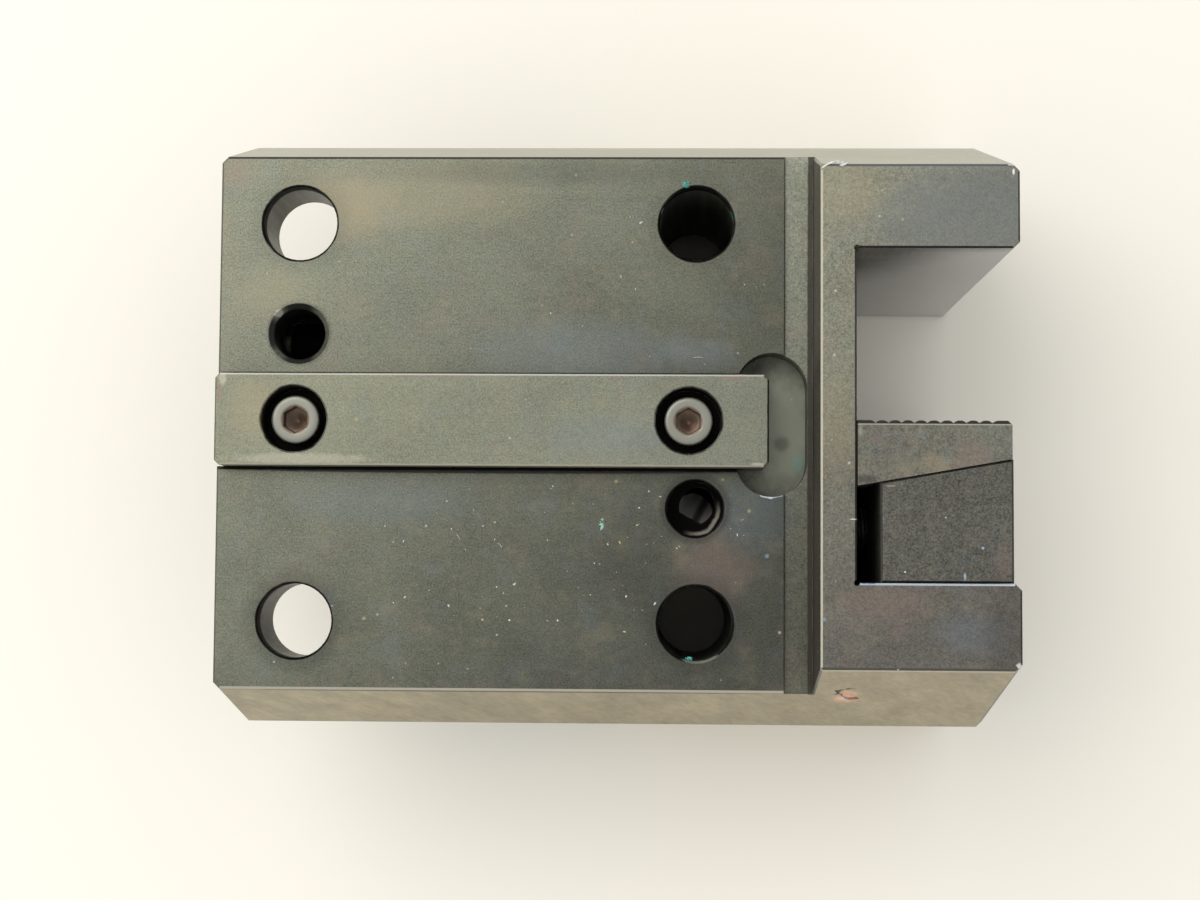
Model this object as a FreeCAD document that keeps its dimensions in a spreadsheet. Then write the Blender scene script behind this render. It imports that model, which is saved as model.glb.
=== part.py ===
import FreeCAD
import Part
import Sketcher
import math
import os
from FreeCAD import Placement, Rotation, Vector

# Static turning tool holder for a twelve sided turret.
# Frame: the origin is the middle of the four mounting bolts on the mounting face, +Z out of that face.
# +X runs along the turret's width towards the clamping head, +Y across it. Lengths are in millimetres.

NODE_FOLDER = "parts"
TURN = 360.0
HEXAGON_COUNT = 6
SAME_PLACE = 1e-4
LEAST_VOLUME = 1e-6

# Driving dimensions: alias, value, meaning
DRIVING = (
    ("middle", "0", "centre line of the pad"),
    ("side_slope", "15", "slope of the long sides away from the pad, degrees"),
    ("left_reach", "49.1", "from the bolt centre to the plain end"),
    ("right_reach", "88.55", "from the bolt centre to the tool side face"),
    ("plate_thickness", "27.4", "thickness of the plate at the plain end"),
    ("head_rise", "17.75", "how far the head stands above the mounting face"),
    ("head_depth", "71.8", "how far the head reaches below the mounting face"),
    ("head_wall", "55.4", "face of the head that locates on the turret's edge"),
    ("block_start", "14.0", "where the deep block begins under the plate"),
    ("block_fillet", "8.0", "radius between the plate and the deep block"),
    ("block_corner", "6.0", "slanting cut on the deep block's corners"),
    ("edge_break", "0.35", "chamfer round the faces"),
    ("corner_break", "1.1", "chamfer on the outline's corners"),
    ("strip_width", "5.0", "width of the relief strip beside the head"),
    ("strip_sunk", "0.8", "depth of the relief strip"),
    ("slot_floor", "61.4", "floor of the tool slot"),
    ("slot_above", "28.0", "seat for the shank, above the centre line"),
    ("slot_below", "27.8", "wedge track, below the centre line"),
    ("slot_relief", "0.5", "radius of the reliefs in the slot's corners"),
    ("bolt_spacing", "70.0", "side of the square of mounting bolts"),
    ("bolt_edge", "11.84", "from a mounting bolt's axis to the pad's long edge"),
    ("bolt_bore", "13.0", "clearance bore of a mounting bolt"),
    ("bolt_chamfer", "0.4", "chamfer at the mouth of a bolt bore"),
    ("bolt_recess", "20.0", "bore for a mounting bolt's head"),
    ("bolt_grip_left", "15.2", "material under the heads at the plain end"),
    ("bolt_grip_right", "51.0", "material under the heads beside the tool slot"),
    ("key_width", "16.0", "width of the turret key"),
    ("key_length", "96.2", "length of the turret key"),
    ("key_height", "10.0", "height of the turret key"),
    ("key_proud", "4.5", "how far the key stands above the mounting face"),
    ("key_place", "-0.6", "middle of the key along X"),
    ("key_corner", "0.8", "chamfer on the key's ends"),
    ("key_edge", "0.3", "chamfer round the key's top"),
    ("key_gap", "0.02", "side clearance of the key in its groove"),
    ("groove_chamfer", "0.6", "chamfer along the key groove"),
    ("runout_width", "12.5", "width of the run-out slot at the end of the groove"),
    ("runout_length", "25.2", "length of the run-out slot"),
    ("runout_depth", "6.5", "depth of the run-out slot"),
    ("runout_place", "48.2", "middle of the run-out slot along X"),
    ("runout_shift", "-0.35", "middle of the run-out slot along Y"),
    ("key_screw_spacing", "68.5", "distance between the key screws"),
    ("key_screw_bore", "11.5", "bore for a key screw's head"),
    ("key_screw_sunk", "1.5", "how far the key screws lie below the key's top"),
    ("key_screw_thread", "5.0", "thread of the key screws"),
    ("key_screw_head", "8.5", "head diameter of the key screws"),
    ("key_screw_head_height", "5.0", "head height of the key screws"),
    ("key_screw_socket", "4.0", "hexagon of the key screws"),
    ("key_screw_length", "12.0", "length of the key screws under the head"),
    ("thread_room", "0.02", "radial gap between a fixed thread and its hole"),
    ("port_a_across", "-34.96", "coolant port at the plain end, along X"),
    ("port_a_up", "15.4", "coolant port at the plain end, along Y"),
    ("port_a_bore", "9.0", "bore of that port"),
    ("port_a_chamfer", "0.9", "chamfer of that port"),
    ("port_b_across", "34.9", "coolant port beside the head, along X"),
    ("port_b_up", "-15.0", "coolant port beside the head, along Y"),
    ("port_b_bore", "10.0", "bore of that port"),
    ("port_b_chamfer", "0.3", "chamfer of that port"),
    ("port_b_depth", "8.0", "depth of that port"),
    ("port_b_drill", "6.0", "slanting drilling below that port"),
    ("drill_lead", "1.0", "how far above the port's floor that drilling starts"),
    ("gallery_depth", "14.0", "axis of the coolant gallery below the mounting face"),
    ("gallery_bore", "7.0", "bore of the coolant gallery"),
    ("outlet_place", "51.0", "coolant outlet along X"),
    ("outlet_join", "62.0", "depth where the slanting drilling meets the outlet"),
    ("plug_thread", "10.0", "thread of the gallery plug"),
    ("plug_length", "8.0", "length of the gallery plug"),
    ("plug_sunk", "0.8", "how far the gallery plug lies below the end face"),
    ("plug_socket", "5.0", "hexagon of the gallery plug"),
    ("plug_socket_share", "0.5", "depth of that hexagon, as a share of the plug's length"),
    ("nozzle_seat", "14.0", "threaded seat of the coolant nozzle"),
    ("nozzle_seat_depth", "11.0", "depth of that seat"),
    ("ball_radius", "4.5", "radius of the nozzle ball"),
    ("ball_room", "0.06", "running gap between the nozzle ball and its cones"),
    ("ball_jet", "2.5", "bore through the nozzle ball"),
    ("ball_flat", "4.15", "from the ball's centre to its flats"),
    ("ball_depth", "5.6", "ball's centre above the far face"),
    ("seal_bore", "5.0", "bore of the nozzle's soft seat"),
    ("seal_room", "0.1", "radial gap round the soft seat"),
    ("ring_mouth", "6.4", "opening of the nozzle ring"),
    ("ring_room", "0.3", "gap between the ring's bore and the ball's widest part"),
    ("ring_over_ball", "1.2", "how far the ring reaches behind the ball's centre"),
    ("spanner_slot", "1.5", "width and depth of the ring's spanner slots"),
    ("incline_angle", "10", "slope between the jaw and the wedge, degrees"),
    ("incline_start", "-11.7", "height of that slope at the slot's floor"),
    ("jaw_top", "-0.8", "crests of the jaw's ribs"),
    ("jaw_inset", "1.45", "outer end of the jaw behind the tool side face"),
    ("jaw_gap", "0.15", "gap between the jaw and the slot's floor"),
    ("jaw_corner", "0.7", "chamfer at the jaw's outer end"),
    ("rib_pitch", "2.15", "pitch of the jaw's ribs"),
    ("rib_land", "0.3", "flat on each rib"),
    ("rib_depth", "0.5", "depth of the grooves between the ribs"),
    ("rib_start", "64.5", "first groove along X"),
    ("groove_count", "10", "number of grooves"),
    ("end_recess", "0.3", "jaw and wedge below the head's near and far faces"),
    ("jaw_pin", "4.0", "diameter of the jaw's guide pins"),
    ("jaw_pin_depth", "8.0", "length of a guide pin in the body"),
    ("jaw_pin_reach", "3.4", "length of a guide pin in the jaw"),
    ("jaw_pin_height", "-6.2", "height of the guide pins"),
    ("jaw_pin_room", "0.05", "running gap of a guide pin in its slot"),
    ("jaw_travel_room", "1.2", "room above and below a guide pin"),
    ("draw_gap", "3.9", "gap between the wedge and the slot's floor"),
    ("wedge_inset", "1.25", "outer end of the wedge behind the tool side face"),
    ("wedge_room", "0.05", "running gap on the wedge's two tracks"),
    ("wedge_edge", "0.4", "chamfer round the wedge's ends"),
    ("draw_height", "-18.2", "height of the wedge screws"),
    ("draw_near", "-10.0", "near wedge screw along Z"),
    ("draw_far", "-44.0", "far wedge screw along Z"),
    ("draw_thread", "8.0", "thread of the wedge screws"),
    ("draw_room", "0.06", "radial gap of the wedge screws in their threads"),
    ("draw_hole", "9.0", "clearance hole through the wedge"),
    ("draw_tap_room", "4.9", "room for travel at the bottom of the threaded holes"),
    ("draw_head", "13.0", "head diameter of the wedge screws"),
    ("draw_head_height", "8.0", "head height of the wedge screws"),
    ("draw_socket", "6.0", "hexagon of the wedge screws"),
    ("draw_length", "25.0", "length of the wedge screws under the head"),
    ("draw_head_bore", "14.2", "bore for a wedge screw's head"),
    ("draw_head_bore_depth", "12.0", "depth of that bore"),
    ("clip_outer", "15.0", "outer diameter of a retaining ring"),
    ("clip_inner", "11.6", "inner diameter of a retaining ring"),
    ("clip_thick", "1.0", "thickness of a retaining ring"),
    ("clip_room", "0.1", "room for a retaining ring in its groove"),
    ("clip_lift", "0.2", "gap between a screw's head and its retaining ring"),
    ("clip_opening", "3.2", "opening of a retaining ring"),
    ("clip_ear", "1.5", "radius of a retaining ring's ears"),
    ("clip_ear_out", "0.35", "ears' centres outside the ring's bore"),
    ("clip_ear_apart", "1.125", "ears' centres beside the opening"),
    ("clip_eye", "0.6", "radius of the holes in the ears"),
    ("head_chamfer", "0.5", "chamfer on the screws' heads"),
    ("socket_floor", "0.4", "height of a socket's floor in its head, as a share of the head's height"),
    ("over", "10.0", "how far a cutting outline runs past the block"),
    ("screw_hole_room", "1.0", "room of a key screw in the key"),
    ("tap_run", "1.5", "threaded hole below a key screw's tip"),
    ("pin_slot_room", "0.4", "room at the end of a guide pin"),
    ("dent_across", "61.3", "dent in the flank below the head, along X"),
    ("dent_level", "-1.0", "that dent along Z"),
    ("dent_long", "9.0", "length of that dent"),
    ("dent_wide", "2.4", "width of that dent"),
    ("dent_deep", "0.35", "depth of that dent"),
    ("dent_lean", "20", "lean of that dent, degrees"),
    ("dent_lead", "0.5", "how far outside the flank that dent's cut starts"),
    ("knock_back", "0.75", "metal knocked off the head's upper corner beside the turret's edge"),
    ("knock_across", "6.0", "width of the cut that stands for that knock"),
)

# Places that follow from the driving dimensions
DERIVED = (
    ("left_end", "=-left_reach"),
    ("plate_under", "=-plate_thickness"),
    ("head_under", "=-head_depth"),
    ("head_height", "=head_rise + head_depth"),
    ("pad_half_width", "=bolt_spacing / 2 + bolt_edge"),
    ("widest_half", "=pad_half_width + plate_thickness * tan(side_slope)"),
    ("widest_whole", "=2 * widest_half"),
    ("head_half", "=pad_half_width - head_rise * tan(side_slope)"),
    ("flank_out", "=widest_half + over"),
    ("flank_in", "=-flank_out"),
    ("widest_low", "=-widest_half"),
    ("flank_top", "=head_rise + over"),
    ("flank_top_half", "=head_half - over * tan(side_slope)"),
    ("flank_top_low", "=-flank_top_half"),
    ("corner_in", "=block_start - block_fillet"),
    ("corner_out", "=block_start + block_corner"),
    ("corner_out_high", "=widest_half"),
    ("corner_in_high", "=widest_half - block_corner - block_fillet"),
    ("corner_over_high", "=widest_half + over"),
    ("corner_out_low", "=-corner_out_high"),
    ("corner_in_low", "=-corner_in_high"),
    ("corner_over_low", "=-corner_over_high"),
    ("corner_height", "=head_depth - plate_thickness"),
    ("slot_end", "=right_reach + over"),
    ("slot_bottom", "=-slot_below"),
    ("strip_start", "=head_wall - strip_width"),
    ("bolt_out", "=bolt_spacing / 2"),
    ("bolt_in", "=-bolt_spacing / 2"),
    ("recess_left", "=-bolt_grip_left"),
    ("recess_right", "=-bolt_grip_right"),
    ("groove_depth", "=key_height - key_proud"),
    ("groove_half", "=key_width / 2 + key_gap"),
    ("groove_low", "=-groove_half"),
    ("groove_left", "=-left_reach - over"),
    ("key_half", "=key_width / 2"),
    ("key_half_low", "=-key_half"),
    ("key_left", "=key_place - key_length / 2"),
    ("key_right", "=key_place + key_length / 2"),
    ("key_bottom", "=-groove_depth"),
    ("key_screw_left", "=key_place - key_screw_spacing / 2"),
    ("key_screw_right", "=key_place + key_screw_spacing / 2"),
    ("key_screw_seat", "=key_proud - key_screw_sunk - key_screw_head_height"),
    ("key_screw_hole", "=key_screw_thread + screw_hole_room"),
    ("key_tap", "=key_screw_thread + 2 * thread_room"),
    ("key_tap_depth", "=key_screw_length - key_screw_seat + tap_run"),
    ("runout_high", "=runout_shift + runout_length / 2 - runout_width / 2"),
    ("runout_low", "=runout_shift - runout_length / 2 + runout_width / 2"),
    ("port_a_depth", "=gallery_depth"),
    ("gallery_level", "=-gallery_depth"),
    ("plug_seat", "=left_end + plug_sunk + plug_length"),
    ("plug_tap", "=plug_thread + 2 * thread_room"),
    ("nozzle_floor", "=head_under + nozzle_seat_depth"),
    ("ball_level", "=head_under + ball_depth"),
    ("cone_reach", "=(ball_radius + ball_room) * sqrt(2)"),
    ("incline_slope", "=tan(incline_angle)"),
    ("jaw_right", "=right_reach - jaw_inset"),
    ("wedge_right", "=right_reach - wedge_inset"),
    ("jaw_left", "=slot_floor + jaw_gap"),
    ("jaw_left_low", "=incline_start + jaw_gap * incline_slope"),
    ("jaw_right_low", "=incline_start + (jaw_right - slot_floor) * incline_slope"),
    ("jaw_corner_place", "=jaw_right - jaw_corner"),
    ("jaw_corner_height", "=jaw_top - jaw_corner"),
    ("rib_half", "=(rib_pitch - rib_land) / 2"),
    ("rib_radius", "=(rib_half ^ 2 + rib_depth ^ 2) / (2 * rib_depth)"),
    ("rib_left", "=rib_start - rib_half"),
    ("rib_right", "=rib_start + rib_half"),
    ("rib_valley", "=jaw_top - rib_depth"),
    ("rib_over", "=jaw_top + rib_depth"),
    ("rib_run", "=rib_pitch * (groove_count - 1)"),
    ("insert_top", "=head_rise - end_recess"),
    ("insert_length", "=head_height - 2 * end_recess"),
    ("pin_slot_half", "=jaw_pin / 2 + jaw_pin_room"),
    ("pin_slot_high", "=jaw_pin_height + jaw_pin / 2 + jaw_travel_room"),
    ("pin_slot_low", "=jaw_pin_height - jaw_pin / 2 - jaw_travel_room"),
    ("pin_slot_depth", "=jaw_pin_reach - jaw_gap + pin_slot_room"),
    ("pin_length", "=jaw_pin_depth + jaw_pin_reach"),
    ("pin_start", "=slot_floor - jaw_pin_depth"),
    ("pin_near_high", "=draw_near + pin_slot_half"),
    ("pin_near_low", "=draw_near - pin_slot_half"),
    ("pin_far_high", "=draw_far + pin_slot_half"),
    ("pin_far_low", "=draw_far - pin_slot_half"),
    ("wedge_left", "=slot_floor + draw_gap"),
    ("wedge_bottom", "=-slot_below + wedge_room"),
    ("wedge_left_top", "=incline_start + draw_gap * incline_slope - wedge_room"),
    ("wedge_right_top", "=incline_start + (wedge_right - slot_floor) * incline_slope - wedge_room"),
    ("draw_seat", "=wedge_right - draw_head_bore_depth"),
    ("draw_tap_depth", "=slot_floor - draw_seat + draw_length + draw_tap_room"),
    ("draw_tap", "=draw_thread + 2 * draw_room"),
    ("clip_start", "=draw_seat + draw_head_height + clip_lift"),
    ("clip_end", "=clip_start + clip_thick + clip_room"),
    ("clip_groove", "=clip_outer + 2 * clip_room"),
    ("clip_groove_width", "=clip_thick + clip_room"),
    ("dent_high", "=(dent_long - dent_wide) / 2"),
    ("dent_low", "=-dent_high"),
    ("dent_cut", "=dent_deep + dent_lead"),
    ("drill_fall", "=outlet_join + drill_lead - port_b_depth"),
    ("drill_across", "=outlet_place - port_b_across"),
    ("drill_up", "=port_a_up - port_b_up"),
    ("drill_run", "=sqrt(drill_across ^ 2 + drill_up ^ 2 + drill_fall ^ 2)"),
)


def make_sheet(doc):
    """Spreadsheet with the driving dimensions, then the places worked out from them."""
    sheet = doc.addObject("Spreadsheet::Sheet", "sizes")
    row = 0
    for alias, value, meaning in DRIVING:
        row += 1
        sheet.set(f"A{row}", meaning)
        sheet.set(f"B{row}", value)
        sheet.setAlias(f"B{row}", alias)
    for alias, formula in DERIVED:
        row += 1
        sheet.set(f"A{row}", "worked out")
        sheet.set(f"B{row}", formula)
        sheet.setAlias(f"B{row}", alias)
    doc.recompute()
    return sheet


document = FreeCAD.newDocument("turret_tool_holder")
sizes = make_sheet(document)


def size(alias):
    """Present value of one cell."""
    return float(sizes.get(alias))


def bind(owner, path, alias):
    """Ties one property to one cell, or to a short sum of cells."""
    owner.setExpression(path, "sizes." + alias)


def new_body(label):
    body = document.addObject("PartDesign::Body", label)
    body.Label = label
    return body


def origin_plane(body, role):
    for feature in body.Origin.OriginFeatures:
        if feature.Role == role:
            return feature
    raise ValueError(role)


def new_sketch(body, name, role, lift=None):
    """Sketch on one of the body's own planes, moved along its normal to the cell named by lift."""
    sketch = body.newObject("Sketcher::SketchObject", name)
    sketch.AttachmentSupport = [(origin_plane(body, role), "")]
    sketch.MapMode = "FlatFace"
    if lift:
        bind(sketch, "AttachmentOffset.Base.z", lift)
    return sketch


def hold_point(sketch, index, end, across, up):
    """Fixes a point of the sketch at the cells across and up."""
    for kind, alias in (("DistanceX", across), ("DistanceY", up)):
        number = sketch.addConstraint(Sketcher.Constraint(kind, index, end, size(alias)))
        bind(sketch, f"Constraints[{number}]", alias)


def add_outline(sketch, corners):
    """Closed polygon, every corner held by two cells."""
    first = sketch.GeometryCount
    count = len(corners)
    points = [Vector(size(across), size(up), 0) for across, up in corners]
    for number in range(count):
        sketch.addGeometry(Part.LineSegment(points[number], points[(number + 1) % count]))
    for number in range(count):
        following = first + (number + 1) % count
        sketch.addConstraint(Sketcher.Constraint("Coincident", first + number, 2, following, 1))
        hold_point(sketch, first + number, 1, *corners[number])


def add_circle(sketch, across, up, diameter):
    """Circle, its centre and diameter held by three cells."""
    centre = Vector(size(across), size(up), 0)
    index = sketch.addGeometry(Part.Circle(centre, Vector(0, 0, 1), size(diameter) / 2))
    hold_point(sketch, index, 3, across, up)
    number = sketch.addConstraint(Sketcher.Constraint("Diameter", index, size(diameter)))
    bind(sketch, f"Constraints[{number}]", diameter)


def add_oblong(sketch, across, low, high, width):
    """Slot outline along the sketch's second axis: two half circles joined by two straight sides."""
    radius = size(width) / 2
    place = size(across)
    top = Part.Circle(Vector(place, size(high), 0), Vector(0, 0, 1), radius)
    bottom = Part.Circle(Vector(place, size(low), 0), Vector(0, 0, 1), radius)
    upper = sketch.addGeometry(Part.ArcOfCircle(top, 0, math.pi))
    lower = sketch.addGeometry(Part.ArcOfCircle(bottom, math.pi, 2 * math.pi))
    left_top = Vector(place - radius, size(high), 0)
    left_low = Vector(place - radius, size(low), 0)
    right_top = Vector(place + radius, size(high), 0)
    right_low = Vector(place + radius, size(low), 0)
    left = sketch.addGeometry(Part.LineSegment(left_top, left_low))
    right = sketch.addGeometry(Part.LineSegment(right_low, right_top))
    sketch.addConstraint(Sketcher.Constraint("Tangent", upper, 2, left, 1))
    sketch.addConstraint(Sketcher.Constraint("Tangent", left, 2, lower, 1))
    sketch.addConstraint(Sketcher.Constraint("Tangent", lower, 2, right, 1))
    sketch.addConstraint(Sketcher.Constraint("Tangent", right, 2, upper, 1))
    sketch.addConstraint(Sketcher.Constraint("Equal", upper, lower))
    hold_point(sketch, upper, 3, across, high)
    hold_point(sketch, lower, 3, across, low)
    number = sketch.addConstraint(Sketcher.Constraint("Diameter", upper, size(width)))
    bind(sketch, f"Constraints[{number}]", width)


def add_rib_gap(sketch):
    """Gap between two ribs: an arc falls from each crest, and the two meet in a sharp valley."""
    radius = size("rib_radius")
    reach = math.atan2(size("rib_half"), radius - size("rib_depth"))
    crest = math.pi / 2
    level = size("jaw_top") - radius
    left_rib = Part.Circle(Vector(size("rib_left"), level, 0), Vector(0, 0, 1), radius)
    right_rib = Part.Circle(Vector(size("rib_right"), level, 0), Vector(0, 0, 1), radius)
    corners = (
        Vector(size("rib_left"), size("jaw_top"), 0),
        Vector(size("rib_left"), size("rib_over"), 0),
        Vector(size("rib_right"), size("rib_over"), 0),
        Vector(size("rib_right"), size("jaw_top"), 0),
    )
    left_arc = sketch.addGeometry(Part.ArcOfCircle(left_rib, crest - reach, crest))
    left_side = sketch.addGeometry(Part.LineSegment(corners[0], corners[1]))
    over = sketch.addGeometry(Part.LineSegment(corners[1], corners[2]))
    right_side = sketch.addGeometry(Part.LineSegment(corners[2], corners[3]))
    right_arc = sketch.addGeometry(Part.ArcOfCircle(right_rib, crest, crest + reach))
    ring = (left_arc, left_side, over, right_side, right_arc)
    for number, index in enumerate(ring):
        following = ring[(number + 1) % len(ring)]
        sketch.addConstraint(Sketcher.Constraint("Coincident", index, 2, following, 1))
    hold_point(sketch, left_arc, 1, "rib_start", "rib_valley")
    hold_point(sketch, left_side, 1, "rib_left", "jaw_top")
    hold_point(sketch, over, 1, "rib_left", "rib_over")
    hold_point(sketch, right_side, 1, "rib_right", "rib_over")
    hold_point(sketch, right_side, 2, "rib_right", "jaw_top")
    for index in (left_arc, right_arc):
        number = sketch.addConstraint(Sketcher.Constraint("Radius", index, radius))
        bind(sketch, f"Constraints[{number}]", "rib_radius")


def pad(body, name, sketch, length, symmetric=False, turned=False):
    feature = body.newObject("PartDesign::Pad", name)
    feature.Profile = sketch
    feature.Midplane = symmetric
    feature.Reversed = turned
    bind(feature, "Length", length)
    document.recompute()
    return feature


def pocket(body, name, sketch, length=None, symmetric=False, turned=False):
    """Removes the sketch's outline, against its normal unless turned; no length means right through."""
    before = body.Shape.Volume
    feature = body.newObject("PartDesign::Pocket", name)
    feature.Profile = sketch
    feature.Midplane = symmetric
    feature.Reversed = turned
    if length:
        bind(feature, "Length", length)
    else:
        feature.Type = "ThroughAll"
    document.recompute()
    if body.Shape.Volume >= before - LEAST_VOLUME:
        raise RuntimeError(f"{body.Label}: {name} removed nothing")
    return feature


def chamfer(body, name, alias, wanted):
    """Bevels each edge of the body that the test wanted accepts."""
    base = body.Tip
    names = [f"Edge{number}" for number, edge in enumerate(base.Shape.Edges, 1) if wanted(edge)]
    if not names:
        raise RuntimeError(f"{body.Label}: {name} found no edge")
    feature = body.newObject("PartDesign::Chamfer", name)
    feature.Base = (base, names)
    bind(feature, "Size", alias)
    document.recompute()
    if feature.Shape.isNull() or not feature.Shape.isValid():
        raise RuntimeError(f"{body.Label}: {name} failed")
    return feature


def close(one, other):
    return abs(one - other) < SAME_PLACE


def middle_of(edge):
    return edge.valueAt((edge.FirstParameter + edge.LastParameter) / 2)


def is_straight(edge):
    return isinstance(edge.Curve, Part.Line)


def rim(level, across, up, diameter):
    """Test for the circular edge round a hole's mouth."""
    def wanted(edge):
        if not isinstance(edge.Curve, Part.Circle):
            return False
        centre = edge.Curve.Center
        same_place = close(centre.x, size(across)) and close(centre.y, size(up)) and close(centre.z, level)
        return same_place and close(edge.Curve.Radius, size(diameter) / 2)
    return wanted


def any_rim(tests):
    return lambda edge: any(test(edge) for test in tests)


def holder_blank(body):
    """Side profile of the whole holder, its two long sides sloping out from the pad."""
    profile = new_sketch(body, "side_profile", "XZ_Plane")
    add_outline(profile, (
        ("left_end", "plate_under"),
        ("block_start", "plate_under"),
        ("block_start", "head_under"),
        ("right_reach", "head_under"),
        ("right_reach", "head_rise"),
        ("head_wall", "head_rise"),
        ("head_wall", "middle"),
        ("left_end", "middle"),
    ))
    pad(body, "blank", profile, "widest_whole", symmetric=True)
    block_round(body)
    flanks = new_sketch(body, "flank_profile", "YZ_Plane")
    add_outline(flanks, (
        ("flank_top_half", "flank_top"),
        ("widest_half", "plate_under"),
        ("flank_out", "plate_under"),
        ("flank_out", "flank_top"),
    ))
    add_outline(flanks, (
        ("flank_top_low", "flank_top"),
        ("widest_low", "plate_under"),
        ("flank_in", "plate_under"),
        ("flank_in", "flank_top"),
    ))
    pocket(body, "flanks", flanks, symmetric=True)
    block_corners(body)


def block_round(body):
    """Round where the deep block grows out of the plate."""
    base = body.Tip
    names = []
    for number, edge in enumerate(base.Shape.Edges, 1):
        spot = middle_of(edge)
        if close(spot.x, size("block_start")) and close(spot.z, size("plate_under")):
            names.append(f"Edge{number}")
    feature = body.newObject("PartDesign::Fillet", "block_round")
    feature.Base = (base, names)
    bind(feature, "Radius", "block_fillet")
    document.recompute()
    return feature


def tool_slot(body):
    """Slot for the tool shank, open to the tool side and right through the head."""
    outline = new_sketch(body, "slot_outline", "XY_Plane")
    add_outline(outline, (
        ("slot_floor", "slot_bottom"),
        ("slot_end", "slot_bottom"),
        ("slot_end", "slot_above"),
        ("slot_floor", "slot_above"),
    ))
    pocket(body, "tool_slot", outline, symmetric=True)


def corner_edges(edge):
    """Corners of the outline seen from the mounting face, and the mouth of the tool slot."""
    if not is_straight(edge):
        return False
    one = edge.valueAt(edge.FirstParameter)
    other = edge.valueAt(edge.LastParameter)
    if not close(one.x, other.x) or close(one.z, other.z):
        return False
    return close(one.x, size("left_end")) or close(one.x, size("right_reach"))


def rim_edges(edge):
    """Edges round the mounting face, the head's top and its wall, the plate's end and the far face."""
    if not is_straight(edge):
        return False
    one = edge.valueAt(edge.FirstParameter)
    other = edge.valueAt(edge.LastParameter)
    if not close(one.z, other.z):
        return close(one.x, size("head_wall")) and close(other.x, one.x)
    if close(one.z, size("plate_under")):
        return close(one.x, size("left_end")) and close(other.x, one.x)
    at_step = close(one.z, 0) and close(one.x, size("head_wall")) and close(other.x, one.x)
    levels = (0, size("head_rise"), size("head_under"))
    return any(close(one.z, level) for level in levels) and not at_step


def block_corners(body):
    """Slanting cuts on the two corners of the deep block under the plate."""
    outline = new_sketch(body, "corner_outline", "XY_Plane", "head_under")
    for side in ("high", "low"):
        add_outline(outline, (
            ("corner_in", f"corner_in_{side}"),
            ("corner_out", f"corner_out_{side}"),
            ("corner_out", f"corner_over_{side}"),
            ("corner_in", f"corner_over_{side}"),
        ))
    pocket(body, "block_corners", outline, "corner_height", turned=True)


def key_groove(body):
    """Groove for the turret key, run out into a cross slot beside the head, and the relief strip."""
    strip = new_sketch(body, "strip_outline", "XY_Plane")
    add_outline(strip, (
        ("strip_start", "flank_in"),
        ("head_wall", "flank_in"),
        ("head_wall", "flank_out"),
        ("strip_start", "flank_out"),
    ))
    pocket(body, "relief_strip", strip, "strip_sunk")
    groove = new_sketch(body, "groove_outline", "XY_Plane")
    add_outline(groove, (
        ("groove_left", "groove_low"),
        ("runout_place", "groove_low"),
        ("runout_place", "groove_half"),
        ("groove_left", "groove_half"),
    ))
    pocket(body, "key_groove", groove, "groove_depth")
    runout = new_sketch(body, "runout_outline", "XY_Plane")
    add_oblong(runout, "runout_place", "runout_low", "runout_high", "runout_width")
    pocket(body, "runout", runout, "runout_depth")


def groove_edges(edge):
    spot = middle_of(edge)
    beside = close(abs(spot.y), size("groove_half"))
    return is_straight(edge) and beside and close(spot.z, 0) and spot.x < size("runout_place")


def mounting_bolts(body):
    """Four bores for the mounting bolts, their heads sunk into the far side."""
    bores = new_sketch(body, "bolt_circles", "XY_Plane")
    left = new_sketch(body, "left_recesses", "XY_Plane", "recess_left")
    right = new_sketch(body, "right_recesses", "XY_Plane", "recess_right")
    for up in ("bolt_in", "bolt_out"):
        add_circle(bores, "bolt_in", up, "bolt_bore")
        add_circle(bores, "bolt_out", up, "bolt_bore")
        add_circle(left, "bolt_in", up, "bolt_recess")
        add_circle(right, "bolt_out", up, "bolt_recess")
    pocket(body, "bolt_bores", bores)
    pocket(body, "bolt_recesses_left", left)
    pocket(body, "bolt_recesses_right", right)
    mouths = [rim(0, x, y, "bolt_bore") for x in ("bolt_in", "bolt_out") for y in ("bolt_in", "bolt_out")]
    chamfer(body, "bolt_mouths", "bolt_chamfer", any_rim(mouths))


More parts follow.
